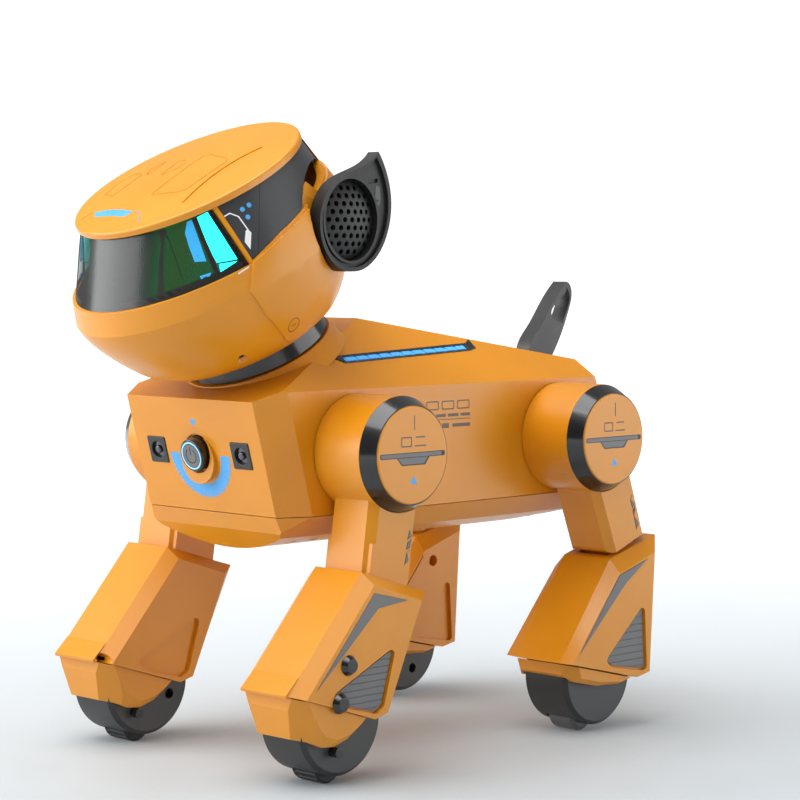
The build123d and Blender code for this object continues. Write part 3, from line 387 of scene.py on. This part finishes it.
ORANGE = (0.70, 0.262, 0.005)
orange = surface("orange_plastic", ORANGE, 0.36, spread=0.03, tint=0.03, bump=0.03,
                 Specular_IOR_Level=0.5, Coat_Weight=0.2, Coat_Roughness=0.2)
# darker orange that paints the shade of grooves on the crown and the cheeks
painted_groove_shade = surface("orange_painted_groove_shade", (0.30, 0.10, 0.004), 0.5, tint=0.1)
black_gloss = surface("black_gloss", (0.011, 0.011, 0.012), 0.2, spread=0.03, bump=0.015, Coat_Weight=0.4,
                      Coat_Roughness=0.08)
black_satin = surface("black_satin", (0.022, 0.022, 0.023), 0.38, spread=0.06, bump=0.08)
ear_rubber = surface("ear_rubber", (0.010, 0.010, 0.0105), 0.5, spread=0.06, bump=0.12, grain=1400)
charcoal = surface("charcoal_panel", (0.045, 0.046, 0.048), 0.34, spread=0.04, bump=0.05)
grey_trim = surface("grey_trim", (0.15, 0.152, 0.156), 0.42, bump=0.06)
light_blue = surface("light_blue", (0.075, 0.38, 0.80), 0.4, tint=0.08, bump=0.02)
blue_glow = surface("blue_glow", (0.075, 0.40, 0.85), 0.3, tint=0.08, bump=0.02,
                    Emission_Color=(0.09, 0.42, 0.9, 1), Emission_Strength=0.35)
# white print on the head side panels, also used for the painted highlight along the lip's top edge
white_print_and_highlight = surface("white_print_and_highlight", (0.86, 0.86, 0.86), 0.4, tint=0.02, bump=0.02)
black_print = surface("black_print", (0.02, 0.02, 0.02), 0.45, bump=0.02)
motor_metal = surface("motor_metal", (0.45, 0.45, 0.47), 0.35, bump=0.1, Metallic=0.9)
board_green = surface("circuit_board", (0.02, 0.16, 0.06), 0.4, bump=0.1)
battery_wrap = surface("battery_wrap", (0.04, 0.1, 0.28), 0.35, bump=0.05)
lens_glass = surface("dark_lens", (0.02, 0.02, 0.024), 0.06, spread=0.02, bump=0.0, Coat_Weight=1.0)
roller_rubber = surface("roller_rubber", (0.018, 0.018, 0.018), 0.5, bump=0.1)
roller_shine = surface("roller_polished", (0.10, 0.10, 0.105), 0.18, spread=0.04, bump=0.02, Coat_Weight=0.4)

VISOR_TINT = (0.02, 0.022, 0.022, 1)
VISOR_ROUGH = (0.20, 0.28)
VISOR_FADE = (0.004, 0.026)
VISOR_ALPHA = (0.97, 0.45)


def smoked():
    """Smoked visor: satin and nearly solid in the middle, more see-through towards the temples."""
    material = bpy.data.materials.new("smoked_visor")
    material.use_nodes = True
    tree = material.node_tree
    nodes, links = tree.nodes, tree.links
    shader = nodes["Principled BSDF"]
    shader.inputs["Base Color"].default_value = VISOR_TINT
    shader.inputs["Coat Weight"].default_value = 0.15
    shader.inputs["Coat Roughness"].default_value = 0.25
    shader.inputs["Specular IOR Level"].default_value = 0.62
    place = nodes.new("ShaderNodeTexCoord")
    broad = nodes.new("ShaderNodeTexNoise")
    broad.inputs["Scale"].default_value = 60
    links.new(place.outputs["Object"], broad.inputs["Vector"])
    span = nodes.new("ShaderNodeMapRange")
    span.inputs["To Min"].default_value = VISOR_ROUGH[0]
    span.inputs["To Max"].default_value = VISOR_ROUGH[1]
    links.new(broad.outputs["Fac"], span.inputs["Value"])
    links.new(span.outputs["Result"], shader.inputs["Roughness"])
    axis = nodes.new("ShaderNodeSeparateXYZ")
    links.new(place.outputs["Object"], axis.inputs["Vector"])
    reach = nodes.new("ShaderNodeMath")
    reach.operation = "ABSOLUTE"
    links.new(axis.outputs["X"], reach.inputs[0])
    fade = nodes.new("ShaderNodeMapRange")
    fade.inputs["From Min"].default_value = VISOR_FADE[0]
    fade.inputs["From Max"].default_value = VISOR_FADE[1]
    fade.inputs["To Min"].default_value = VISOR_ALPHA[0]
    fade.inputs["To Max"].default_value = VISOR_ALPHA[1]
    links.new(reach.outputs[0], fade.inputs["Value"])
    links.new(fade.outputs["Result"], shader.inputs["Alpha"])
    return material


visor_glass = smoked()

SCREEN_HALF = 0.056
CLOUD_SCALE = 45
CLOUD_DRIFT = 0.010
SCREEN_GLOW = 2.2
SCREEN_BANDS = [
    (0.0, (0.002, 0.004, 0.003)), (0.38, (0.002, 0.02, 0.01)), (0.52, (0.005, 0.10, 0.02)),
    (0.66, (0.02, 0.09, 0.012)), (0.80, (0.01, 0.11, 0.03)), (1.0, (0.02, 0.16, 0.12)),
]


def screen():
    """Lit screen: green that drifts to blue towards the temples, dark in the middle."""
    material = bpy.data.materials.new("eye_screen")
    material.use_nodes = True
    tree = material.node_tree
    nodes, links = tree.nodes, tree.links
    shader = nodes["Principled BSDF"]
    shader.inputs["Roughness"].default_value = 0.35
    place = nodes.new("ShaderNodeTexCoord")
    axis = nodes.new("ShaderNodeSeparateXYZ")
    links.new(place.outputs["Object"], axis.inputs["Vector"])
    reach = nodes.new("ShaderNodeMath")
    reach.operation = "ABSOLUTE"
    links.new(axis.outputs["X"], reach.inputs[0])
    cloud = nodes.new("ShaderNodeTexNoise")
    cloud.inputs["Scale"].default_value = CLOUD_SCALE
    cloud.inputs["Detail"].default_value = 1
    links.new(place.outputs["Object"], cloud.inputs["Vector"])
    mixed = nodes.new("ShaderNodeMath")
    mixed.operation = "MULTIPLY_ADD"
    links.new(cloud.outputs["Fac"], mixed.inputs[0])
    mixed.inputs[1].default_value = CLOUD_DRIFT
    links.new(reach.outputs[0], mixed.inputs[2])
    ramp = nodes.new("ShaderNodeValToRGB")
    span = nodes.new("ShaderNodeMapRange")
    span.inputs["From Min"].default_value = 0.0
    span.inputs["From Max"].default_value = SCREEN_HALF
    links.new(mixed.outputs[0], span.inputs["Value"])
    links.new(span.outputs["Result"], ramp.inputs["Fac"])
    for element, (position, color) in zip(ramp.color_ramp.elements, (SCREEN_BANDS[0], SCREEN_BANDS[-1])):
        element.position = position
        element.color = (*color, 1)
    for position, color in SCREEN_BANDS[1:-1]:
        element = ramp.color_ramp.elements.new(position)
        element.color = (*color, 1)
    links.new(ramp.outputs["Color"], shader.inputs["Base Color"])
    links.new(ramp.outputs["Color"], shader.inputs["Emission Color"])
    shader.inputs["Emission Strength"].default_value = SCREEN_GLOW
    return material


screen_light = screen()
cyan_glow = surface("cyan_glow", (0.02, 0.9, 0.9), 0.3, tint=0.04, bump=0.0,
                    Emission_Color=(0.02, 1.0, 0.95, 1), Emission_Strength=2.2)
azure_glow = surface("azure_glow", (0.04, 0.32, 0.6), 0.3, tint=0.15, bump=0.0,
                     Emission_Color=(0.03, 0.26, 0.55, 1), Emission_Strength=0.7)

SLOT_MATERIALS = {
    "orange_shell": orange,
    "black_gloss": black_gloss,
    "black_satin": black_satin,
    "ear_rubber": ear_rubber,
    "charcoal_panel": charcoal,
    "grey_trim": grey_trim,
    "smoked_visor": visor_glass,
    "display": screen_light,
    "dark_lens": lens_glass,
    "light_blue": blue_glow,
    "motor_metal": motor_metal,
    "circuit_board": board_green,
    "battery_wrap": battery_wrap,
    "roller_rubber": roller_rubber,
    "roller_polished": roller_shine,
}
foot_face = surface("foot_face", (0.050, 0.051, 0.053), 0.42, bump=0.05)
visor_frame = surface("visor_frame", (0.022, 0.020, 0.018), 0.3, spread=0.04, bump=0.01)

# rounding of the edges by material, in mm, and what counts as one edge
EDGE_WIDTH = {"orange_shell": 0.45, "black_gloss": 0.25, "black_satin": 0.3, "ear_rubber": 0.45,
              "charcoal_panel": 0.2, "grey_trim": 0.08}
OTHER_EDGE_WIDTH = 0.1
EDGE_ANGLE = 22
FLAT_ANGLE = 0.6
WELD_GAP = 0.002
# nodes that stay without rounding, and nodes whose flat faces stay in triangles
SHARP_NODES = ("visor", "eye_display")
KEEP_TRIANGLES = ("light_bar_lenses", "power_button", "rear_right_hip_ring", "rear_right_shin_shell")

for entry in frame["record"]["subparts"]:
    node = NODES[entry["node"]]
    node.data.materials.clear()
    node.data.materials.append(SLOT_MATERIALS[entry["material_slot"]])
    if entry["node"] in SHARP_NODES:
        continue
    weld = node.modifiers.new("weld", "WELD")
    weld.merge_threshold = WELD_GAP * MM
    if entry["node"] not in KEEP_TRIANGLES:
        flat = node.modifiers.new("flat", "DECIMATE")
        flat.decimate_type = "DISSOLVE"
        flat.angle_limit = radians(FLAT_ANGLE)
    bevel = node.modifiers.new("bevel", "BEVEL")
    bevel.width = EDGE_WIDTH.get(entry["material_slot"], OTHER_EDGE_WIDTH) * MM
    bevel.segments = 3
    bevel.limit_method = "ANGLE"
    bevel.angle_limit = radians(EDGE_ANGLE)
    bevel.use_clamp_overlap = True
    bevel.miter_outer = "MITER_ARC"
    shade = node.modifiers.new("shade", "WEIGHTED_NORMAL")
    shade.keep_sharp = True

# ---------------------------------------------------------------- prints, inlays and small fittings
LEG_X = 65.45
CHEST_Z = 139.5
TORSO_BOARD_X = 60
THIGH_BOARD_X = 90
CROWN_HEIGHT = 88.0
FOOT_HALF = 13.45
FOOT_CENTRE = {"front": (-103.5, 27.5), "rear": (66.0, 27.0)}
FOOT_HOLE = {"front": (-91.3, 21.4), "rear": (71.4, 14.1)}
THIGH_INSERTS = {
    "front": [
        [(-63, 106.9), (-57.6, 110.3), (-58.8, 105.3), (-64.4, 102.6)],
        [(-64.2, 101.5), (-58.9, 104.5), (-60, 100.3), (-65.1, 98.2)],
        [(-64.8, 97.1), (-59.4, 99.8), (-60.8, 95.3), (-66.3, 91.6)],
    ],
    "rear": [
        [(88.2, 109.5), (91, 115.3), (93.3, 109.8), (90, 105.2)],
        [(90.1, 104.3), (93.3, 108.9), (96.2, 100.8), (93.1, 94.7)],
    ],
}
FLANK_BOXES = [(-18.8, 158.4), (-8.6, 158.4), (1.6, 158.4)]
FLANK_BARS = [
    (-16.4, -10, 153.0, 154.4),
    (-8.6, -1.6, 153.0, 154.4),
    (-0.2, 6.2, 153.0, 154.4),
    (-18, 6.2, 151.6, 151.95),
    (-12.6, -8, 147.8, 150.0),
    (-5.6, 6.2, 148.1, 149.7),
]
blue_line = surface("blue_line", (0.16, 0.26, 0.36), 0.4, tint=0.05, bump=0.02)
grey_print = surface("grey_print", (0.13, 0.10, 0.075), 0.45, tint=0.05, bump=0.02)
ring_glow = surface("ring_glow", (0.30, 0.66, 0.95), 0.3, tint=0.05, bump=0.0,
                    Emission_Color=(0.25, 0.62, 0.95, 1), Emission_Strength=0.5)

# chest: half-round scale under the button with fine ticks, pointer, lit ring and button mark
chest = chest_board(CHEST_Z)
SCALE_OUTER = 20.3
SCALE_INNER = 14.0
SCALE_DROP = 0.7
TICK_OUTER = 20.35
TICK_COUNT = 31
TICK_TURN = 6
TICK_WIDTH = 0.28
LONG_TICK = 2.6
SHORT_TICK = 1.3
LONG_TICK_EVERY = 5
scale_centre = (0, -SCALE_DROP)
scale_loop = arc(SCALE_OUTER, 180, 360, 60, scale_centre) + arc(SCALE_INNER, 360, 180, 60, scale_centre)
thin_piece("chest_scale", [scale_loop], chest, light_blue, "torso", raised=0.06, step=2.0,
           node="torso_upper_shell")
for index in range(TICK_COUNT):
    angle = radians(180 + TICK_TURN * index)
    inner = TICK_OUTER - (SHORT_TICK if index % LONG_TICK_EVERY else LONG_TICK)
    line = [(radius * cos(angle), radius * sin(angle) - SCALE_DROP) for radius in (TICK_OUTER, inner)]
    thin_piece(f"chest_tick_{index}", stroke(line, TICK_WIDTH), chest, orange, "torso",
               raised=0.1, sunk=0.0, node="torso_upper_shell")
chest_arrow = [(-2.2, 15.6), (2.2, 15.6), (0, 11.9)]
thin_piece("chest_pointer", [chest_arrow], chest, light_blue, "torso", raised=0.06,
           node="torso_upper_shell")
BUTTON_FACE = 4.8
chest_out = chest.normal
ring_profile = [(5.7, -0.25), (5.7, 0.02), (5.9, 0.12), (6.2, 0.12), (6.4, 0.02), (6.4, -0.25), (5.7, -0.25)]
face_origin = Vector((0, chest.origin.y - MID_Y, chest.origin.z)) + chest_out * BUTTON_FACE
lathe("button_light_ring", ring_profile, face_origin, chest_out, ring_glow, "power_button")
button_top = Place(face_origin, chest.across, chest.up)
PLATE_R = 5.2
MARK_R = 3.3
MARK_WIDTH = 0.5
thin_piece("button_plate", [circle(PLATE_R)], button_top, grey_trim, "power_button", raised=0.06,
           sunk=0.1)
thin_piece("button_mark_arc", stroke(arc(MARK_R, 122, 418, 30), MARK_WIDTH), button_top, black_print,
           "power_button", raised=0.12, sunk=0.0)
thin_piece("button_mark_bar", stroke([(0, 4.2), (0, 0.4)], MARK_WIDTH), button_top, black_print,
           "power_button", raised=0.12, sunk=0.0)

# crown: blue arc with a thin outline, whose left line is painted groove shade in darker orange
crown = head_board(CROWN_HEIGHT)
emblem = [(-23.5, -36.9), (-18, -35.7), (-12.5, -35.3), (-4, -35.9), (4.1, -37.5), (2.2, -41.6),
          (-6.8, -40.7), (-13, -40.5), (-19.1, -40.9)]
thin_piece("crown_arc", [emblem], crown, light_blue, "head", raised=0.06, node="crown_plate",
           step=3.0)
right_line = stroke([(4.0, -37.3), (9.7, -38.3), (17.2, -46.6)], 0.5)
thin_piece("crown_line_right", right_line, crown, blue_line, "head", raised=0.07,
           node="crown_plate")
# left crown line: painted groove shade in darker orange
left_line = stroke([(-23.6, -36.8), (-26.2, -37.4), (-28.2, -45.4)], 0.35)
thin_piece("crown_line_left", left_line, crown, painted_groove_shade, "head", raised=0.05,
           node="crown_plate")

# marks of the head, alike on both sides: name, node it lies on, outlines (rearward, up the neck axis),
# material, slot, height above the surface, depth below it and longest step between points
visor_frame_loop = [(-24.9, 83.9), (-26.6, 58.0), (-47.4, 58.0), (-66, 58.0), (-66, 59.6), (-58.0, 60.6),
                    (-38.4, 60.6), (-29.6, 60.4), (-28.8, 83.9)]
lit_loop = [(-33.1, 83.3), (-28.9, 83.6), (-29.3, 76.1), (-29.8, 61.6), (-37.3, 63.9), (-36.9, 67.1),
            (-35.6, 73.7)]
lit_low_loop = [(-37.0, 63.0), (-30.2, 60.9), (-38.2, 59.9)]
azure_loop = [(-36.8, 83.1), (-35.1, 83.2), (-40.1, 66.0), (-43.6, 67.6), (-41.8, 73.7), (-39.8, 79.3)]
azure_low_loop = [(-45.3, 61.7), (-41.2, 61.3), (-42.3, 60.2), (-45.6, 60.4)]
bar_loop = [(-34.8, 83.6), (-33.2, 83.6), (-38.6, 60.4), (-40.4, 60.8)]
hair_line = [(-44.1, 82.4), (-50.4, 63.0)]
post_loop = [(-45.6, 83.2), (-43.4, 83.2), (-46.5, 78.9), (-50.4, 73.0), (-58.3, 59.8), (-60.0, 59.8),
             (-51.4, 73.1), (-47.4, 78.6)]
seam_line = [(-3.5, 84.0), (-11.6, 73.2), (-21.4, 59.6)]
zigzag_line = [(-25.0, 79.4), (-22.4, 79.6), (-20.0, 76.8), (-19.6, 70.2)]
block_loop = [(-20.8, 70.3), (-19.6, 70.5), (-19.0, 68.6), (-23.3, 62.8), (-23.7, 66.6)]
PANEL_DOTS = [(-13.3, 78.8), (-16.9, 78.6), (-16.6, 74.8)]
DOT_R = 1.05
CHEEK = (-14.5, 21.2)
cheek_ring = [circle(3.3, CHEEK), circle(2.8, CHEEK)]
# thin white strip along the lip's top edge: a painted highlight
lip_highlight_loop = [(-33.6, 56.3), (-28.2, 56.8), (-28.2, 57.3), (-33.6, 56.9)]
FINE_STEP = 3.0
COARSE_STEP = 4.0
VISOR_DEPTH = 0.1
MARK_DEPTH = 0.12
panel_dots = []
for index, spot in enumerate(PANEL_DOTS):
    panel_dots.append((f"panel_dot_{index}", "head_side_panels", [circle(DOT_R, spot, 20)], light_blue,
                       "light_blue", 0.07, MARK_DEPTH, COARSE_STEP))
HEAD_MARKS = [
    ("visor_frame", "visor", [visor_frame_loop], visor_frame, "black_gloss", 0.05, VISOR_DEPTH, FINE_STEP),
    ("visor_lit", "visor", [lit_loop], cyan_glow, "light_blue", 0.07, VISOR_DEPTH, FINE_STEP),
    ("visor_lit_low", "visor", [lit_low_loop], cyan_glow, "light_blue", 0.075, VISOR_DEPTH, COARSE_STEP),
    ("visor_azure", "visor", [azure_loop], azure_glow, "light_blue", 0.05, VISOR_DEPTH, FINE_STEP),
    ("visor_azure_low", "visor", [azure_low_loop], azure_glow, "light_blue", 0.06, VISOR_DEPTH, COARSE_STEP),
    ("visor_bar", "visor", [bar_loop], visor_frame, "black_gloss", 0.065, VISOR_DEPTH, FINE_STEP),
    ("visor_hair", "visor", stroke(hair_line, 0.3), visor_frame, "black_gloss", 0.065, VISOR_DEPTH,
     COARSE_STEP),
    ("visor_post", "visor", [post_loop], visor_frame, "black_gloss", 0.07, VISOR_DEPTH, FINE_STEP),
    ("panel_seam", "head_side_panels", stroke(seam_line, 0.35), black_print, "black_satin", 0.04, MARK_DEPTH,
     COARSE_STEP),
    ("panel_line", "head_side_panels", stroke(zigzag_line, 0.55), white_print_and_highlight, "grey_trim", 0.06, MARK_DEPTH,
     COARSE_STEP),
    ("panel_block", "head_side_panels", [block_loop], white_print_and_highlight, "grey_trim", 0.07, MARK_DEPTH,
     COARSE_STEP),
    *panel_dots,
    # cheek ring and bar: painted groove shade in darker orange
    ("cheek_ring", "head_shell", cheek_ring, painted_groove_shade, "orange_shell", 0.04, MARK_DEPTH, COARSE_STEP),
    ("cheek_bar", "head_shell", [box(*CHEEK, 2.6, 0.6)], painted_groove_shade, "orange_shell", 0.04, MARK_DEPTH,
     COARSE_STEP),
    # white lip strip: a painted highlight along the lip's top edge
    ("lip_edge_highlight", "head_shell", [lip_highlight_loop], white_print_and_highlight, "grey_trim", 0.06, MARK_DEPTH, COARSE_STEP),
]

# marks of a hip cap round its centre: name, outlines (rearward, up), material, slot, height above the cap
box_edges = [rounded(box(-3.9, 5.9, 6.6, 4.5), 0.9), rounded(box(-3.9, 5.9, 5.4, 3.3), 0.5)]
notch_edge_loop = [(-10.1, -0.7), (10.6, -0.7), (7.6, -4.4), (-6.9, -4.4)]
notch_loop = [(-9.4, -0.9), (9.5, -0.9), (6.8, -3.9), (-6.5, -3.9)]
pointer_loop = [(-1.9, -12.6), (2.7, -12.6), (0.4, -8.9)]
CAP_MARKS = [
    ("tick", stroke([(1.0, 17.3), (1.0, 10.9)], 0.55), grey_print, "grey_trim", 0.05),
    ("box", box_edges, grey_print, "grey_trim", 0.05),
    ("bar_high", [box(4.6, 7.8, 5.6, 0.6)], grey_print, "grey_trim", 0.05),
    ("bar_low", [box(4.6, 4.0, 7.0, 0.6)], grey_print, "grey_trim", 0.05),
    ("notch_edge", [notch_edge_loop], black_print, "black_satin", 0.04),
    ("notch", [notch_loop], grey_trim, "grey_trim", 0.07),
    ("slot_edge", [rounded(box(0, 0.1, 39.9, 2.3), 1.1)], black_print, "black_satin", 0.08),
    ("slot_fill", [rounded(box(-0.9, 0.1, 37.2, 1.7), 0.8)], grey_trim, "grey_trim", 0.12),
    ("pointer", [pointer_loop], light_blue, "light_blue", 0.05),
]
BLADE = rounded([(-62.2, 258.0), (-59.6, 258.0), (-59.0, 251.8), (-60.1, 248.8), (-62.5, 251.3)], 0.8)
FLANK_BOX = (8.4, 4.2)
FLANK_BOX_LINE = 0.6
INSERT_SHRINK = 0.82
FOOT_FACE_R = 22.1
FOOT_HOLE_R = 2.5


def leg_marks(end, word, flipped):
    """Cap marks, thigh inlays and the paler foot discs of one leg."""
    leg = f"{end}_{word}"
    cap = side_board(CAP_X, HIP_Y[end], HIP_Z)
    for mark, loops, material, slot, raised in CAP_MARKS:
        thin_piece(f"{leg}_cap_{mark}", loops, cap, material, f"{leg}_thigh", raised=raised, sunk=0.1,
                   mirrored=flipped)
    for index, outline in enumerate(THIGH_INSERTS[end]):
        thin_piece(f"{leg}_insert_edge_{index}", [outline], side_board(THIGH_BOARD_X), black_print,
                   f"{leg}_thigh", raised=0.04, node=f"{leg}_thigh_shell", mirrored=flipped)
        centre = sum((Vector(p) for p in outline), Vector((0, 0))) / len(outline)
        shrunk = [tuple(centre + (Vector(p) - centre) * INSERT_SHRINK) for p in outline]
        thin_piece(f"{leg}_insert_{index}", [shrunk], side_board(THIGH_BOARD_X), grey_trim, f"{leg}_thigh",
                   raised=0.08, node=f"{leg}_thigh_shell", mirrored=flipped)
    disc = circle(FOOT_FACE_R, FOOT_CENTRE[end], 64)
    hole = circle(FOOT_HOLE_R, FOOT_HOLE[end], 24)
    for face, outward, loops in (("outer", 1, [disc]), ("inner", -1, [disc, hole])):
        board = side_board(LEG_X + outward * FOOT_HALF, outward=outward)
        thin_piece(f"{leg}_foot_face_{face}", loops, board, foot_face, f"{leg}_shin",
                   raised=0.05, sunk=0.1, step=5.0, mirrored=flipped)


for word, side in SIDES:
    flipped = side < 0
    for mark, node, loops, material, slot, raised, sunk, step in HEAD_MARKS:
        thin_piece(f"{word}_{mark}", loops, head_side_board(), material, "head", raised=raised,
                   sunk=sunk, step=step, node=node, mirrored=flipped)
    # blade mark on the ear floor
    thin_piece(f"{word}_ear_blade", [BLADE], side_board(TORSO_BOARD_X), charcoal, f"{word}_ear",
               raised=0.15, node=f"{word}_ear_cup", mirrored=flipped)
    # plain boxes and bars on the flank
    for index, (u, v) in enumerate(FLANK_BOXES):
        width, height = FLANK_BOX
        outer = rounded(box(u, v, width, height), 1.0)
        inner = rounded(box(u, v, width - 2 * FLANK_BOX_LINE, height - 2 * FLANK_BOX_LINE), 0.6)
        thin_piece(f"{word}_flank_box_{index}", [outer, inner], side_board(TORSO_BOARD_X), grey_print,
                   "torso", raised=0.04, node="torso_upper_shell", mirrored=flipped)
    for index, (left, right, low, high) in enumerate(FLANK_BARS):
        bar = box((left + right) / 2, (low + high) / 2, right - left, high - low)
        thin_piece(f"{word}_flank_bar_{index}", [bar], side_board(TORSO_BOARD_X), grey_print, "torso",
                   raised=0.04, node="torso_upper_shell", mirrored=flipped)
    for end in ("front", "rear"):
        leg_marks(end, word, flipped)

# ---------------------------------------------------------------- stage, light and camera
SKY_BRIGHT_SIDE = (-0.55, 0.35, 0.75)
SKY_SPAN = (-0.8, 1.0)
SKY_STRENGTH = (0.0, 0.36)
BACKDROP_STRENGTH = 1.2
WHITE = (1, 1, 1, 1)
# the floor glows more with the distance from this spot, so that it fades into the white backdrop
FLOOR_DIM_SPOT = (0.2, -0.2, 0)
FLOOR_GLOW_REACH = 1.9
FLOOR_HALF = 12.0
floor_material = surface("floor_white", (0.50, 0.545, 0.57), 0.55, spread=0.04, tint=0.01, grain=300,
                         bump=0.01)
tree = floor_material.node_tree
spot = tree.nodes["Texture Coordinate"]
far_off = tree.nodes.new("ShaderNodeVectorMath")
far_off.operation = "DISTANCE"
far_off.inputs[1].default_value = FLOOR_DIM_SPOT
tree.links.new(spot.outputs["Object"], far_off.inputs[0])
glow = tree.nodes.new("ShaderNodeMapRange")
glow.interpolation_type = "SMOOTHSTEP"
glow.inputs["From Max"].default_value = FLOOR_GLOW_REACH
tree.links.new(far_off.outputs["Value"], glow.inputs["Value"])
tree.nodes["Principled BSDF"].inputs["Emission Color"].default_value = WHITE
tree.links.new(glow.outputs["Result"], tree.nodes["Principled BSDF"].inputs["Emission Strength"])
floor_mesh = bpy.data.meshes.new("floor")
work = bmesh.new()
bmesh.ops.create_grid(work, x_segments=8, y_segments=8, size=FLOOR_HALF)
work.to_mesh(floor_mesh)
work.free()
floor = bpy.data.objects.new("floor", floor_mesh)
bpy.context.scene.collection.objects.link(floor)
floor_mesh.materials.append(floor_material)

world = bpy.data.worlds.new("studio")
world.use_nodes = True
bpy.context.scene.world = world
tree = world.node_tree
back = tree.nodes["Background"]
back.inputs["Color"].default_value = WHITE
sky_place = tree.nodes.new("ShaderNodeTexCoord")
sky_side = tree.nodes.new("ShaderNodeVectorMath")
sky_side.operation = "DOT_PRODUCT"
sky_side.inputs[1].default_value = SKY_BRIGHT_SIDE
tree.links.new(sky_place.outputs["Generated"], sky_side.inputs[0])
sky_span = tree.nodes.new("ShaderNodeMapRange")
sky_span.inputs["From Min"].default_value = SKY_SPAN[0]
sky_span.inputs["From Max"].default_value = SKY_SPAN[1]
sky_span.inputs["To Min"].default_value = SKY_STRENGTH[0]
sky_span.inputs["To Max"].default_value = SKY_STRENGTH[1]
tree.links.new(sky_side.outputs["Value"], sky_span.inputs["Value"])
tree.links.new(sky_span.outputs["Result"], back.inputs["Strength"])
seen = tree.nodes.new("ShaderNodeBackground")
seen.inputs["Strength"].default_value = BACKDROP_STRENGTH
seen.inputs["Color"].default_value = WHITE
choose = tree.nodes.new("ShaderNodeMixShader")
rays = tree.nodes.new("ShaderNodeLightPath")
tree.links.new(rays.outputs["Is Camera Ray"], choose.inputs["Fac"])
tree.links.new(back.outputs["Background"], choose.inputs[1])
tree.links.new(seen.outputs["Background"], choose.inputs[2])
tree.links.new(choose.outputs["Shader"], tree.nodes["World Output"].inputs["Surface"])


def soft_light(name, place, aim, size, power):
    """Rectangular area light at place, turned to face aim; size is (width, height)."""
    data = bpy.data.lights.new(name, "AREA")
    data.shape = "RECTANGLE"
    data.size, data.size_y = size
    data.energy = power
    lamp = bpy.data.objects.new(name, data)
    bpy.context.scene.collection.objects.link(lamp)
    lamp.location = place
    lamp.rotation_euler = (Vector(aim) - Vector(place)).to_track_quat("-Z", "Y").to_euler()


BODY_MIDDLE = (0, 0, 0.14)
BODY_LOW = (0, 0, 0.12)
soft_light("left_box", (-1.00, -1.40, 0.75), BODY_MIDDLE, (2.0, 1.2), 29)
soft_light("right_box", (1.50, 1.45, 0.50), BODY_MIDDLE, (2.2, 1.1), 18)
soft_light("front_high", (0.9, -0.9, 1.5), BODY_LOW, (1.0, 1.0), 6)
soft_light("top_box", (-0.15, -0.35, 1.45), BODY_LOW, (1.3, 1.3), 24)

CAMERA_X = 0.8292
CAMERA_BEHIND = 816.92
CAMERA_HEIGHT = 0.22559
CAMERA_DIP = 3.31
CAMERA_TURN = 45.06
camera_data = bpy.data.cameras.new("camera")
camera_data.sensor_width = 36
camera_data.lens = 109.43
camera_data.clip_end = 50
camera = bpy.data.objects.new("camera", camera_data)
bpy.context.scene.collection.objects.link(camera)
camera.location = (CAMERA_X, (MID_Y - CAMERA_BEHIND) * MM, CAMERA_HEIGHT)
camera.rotation_euler = (radians(90 - CAMERA_DIP), 0, radians(CAMERA_TURN))
bpy.context.scene.camera = camera
bpy.context.scene.view_settings.view_transform = "Standard"
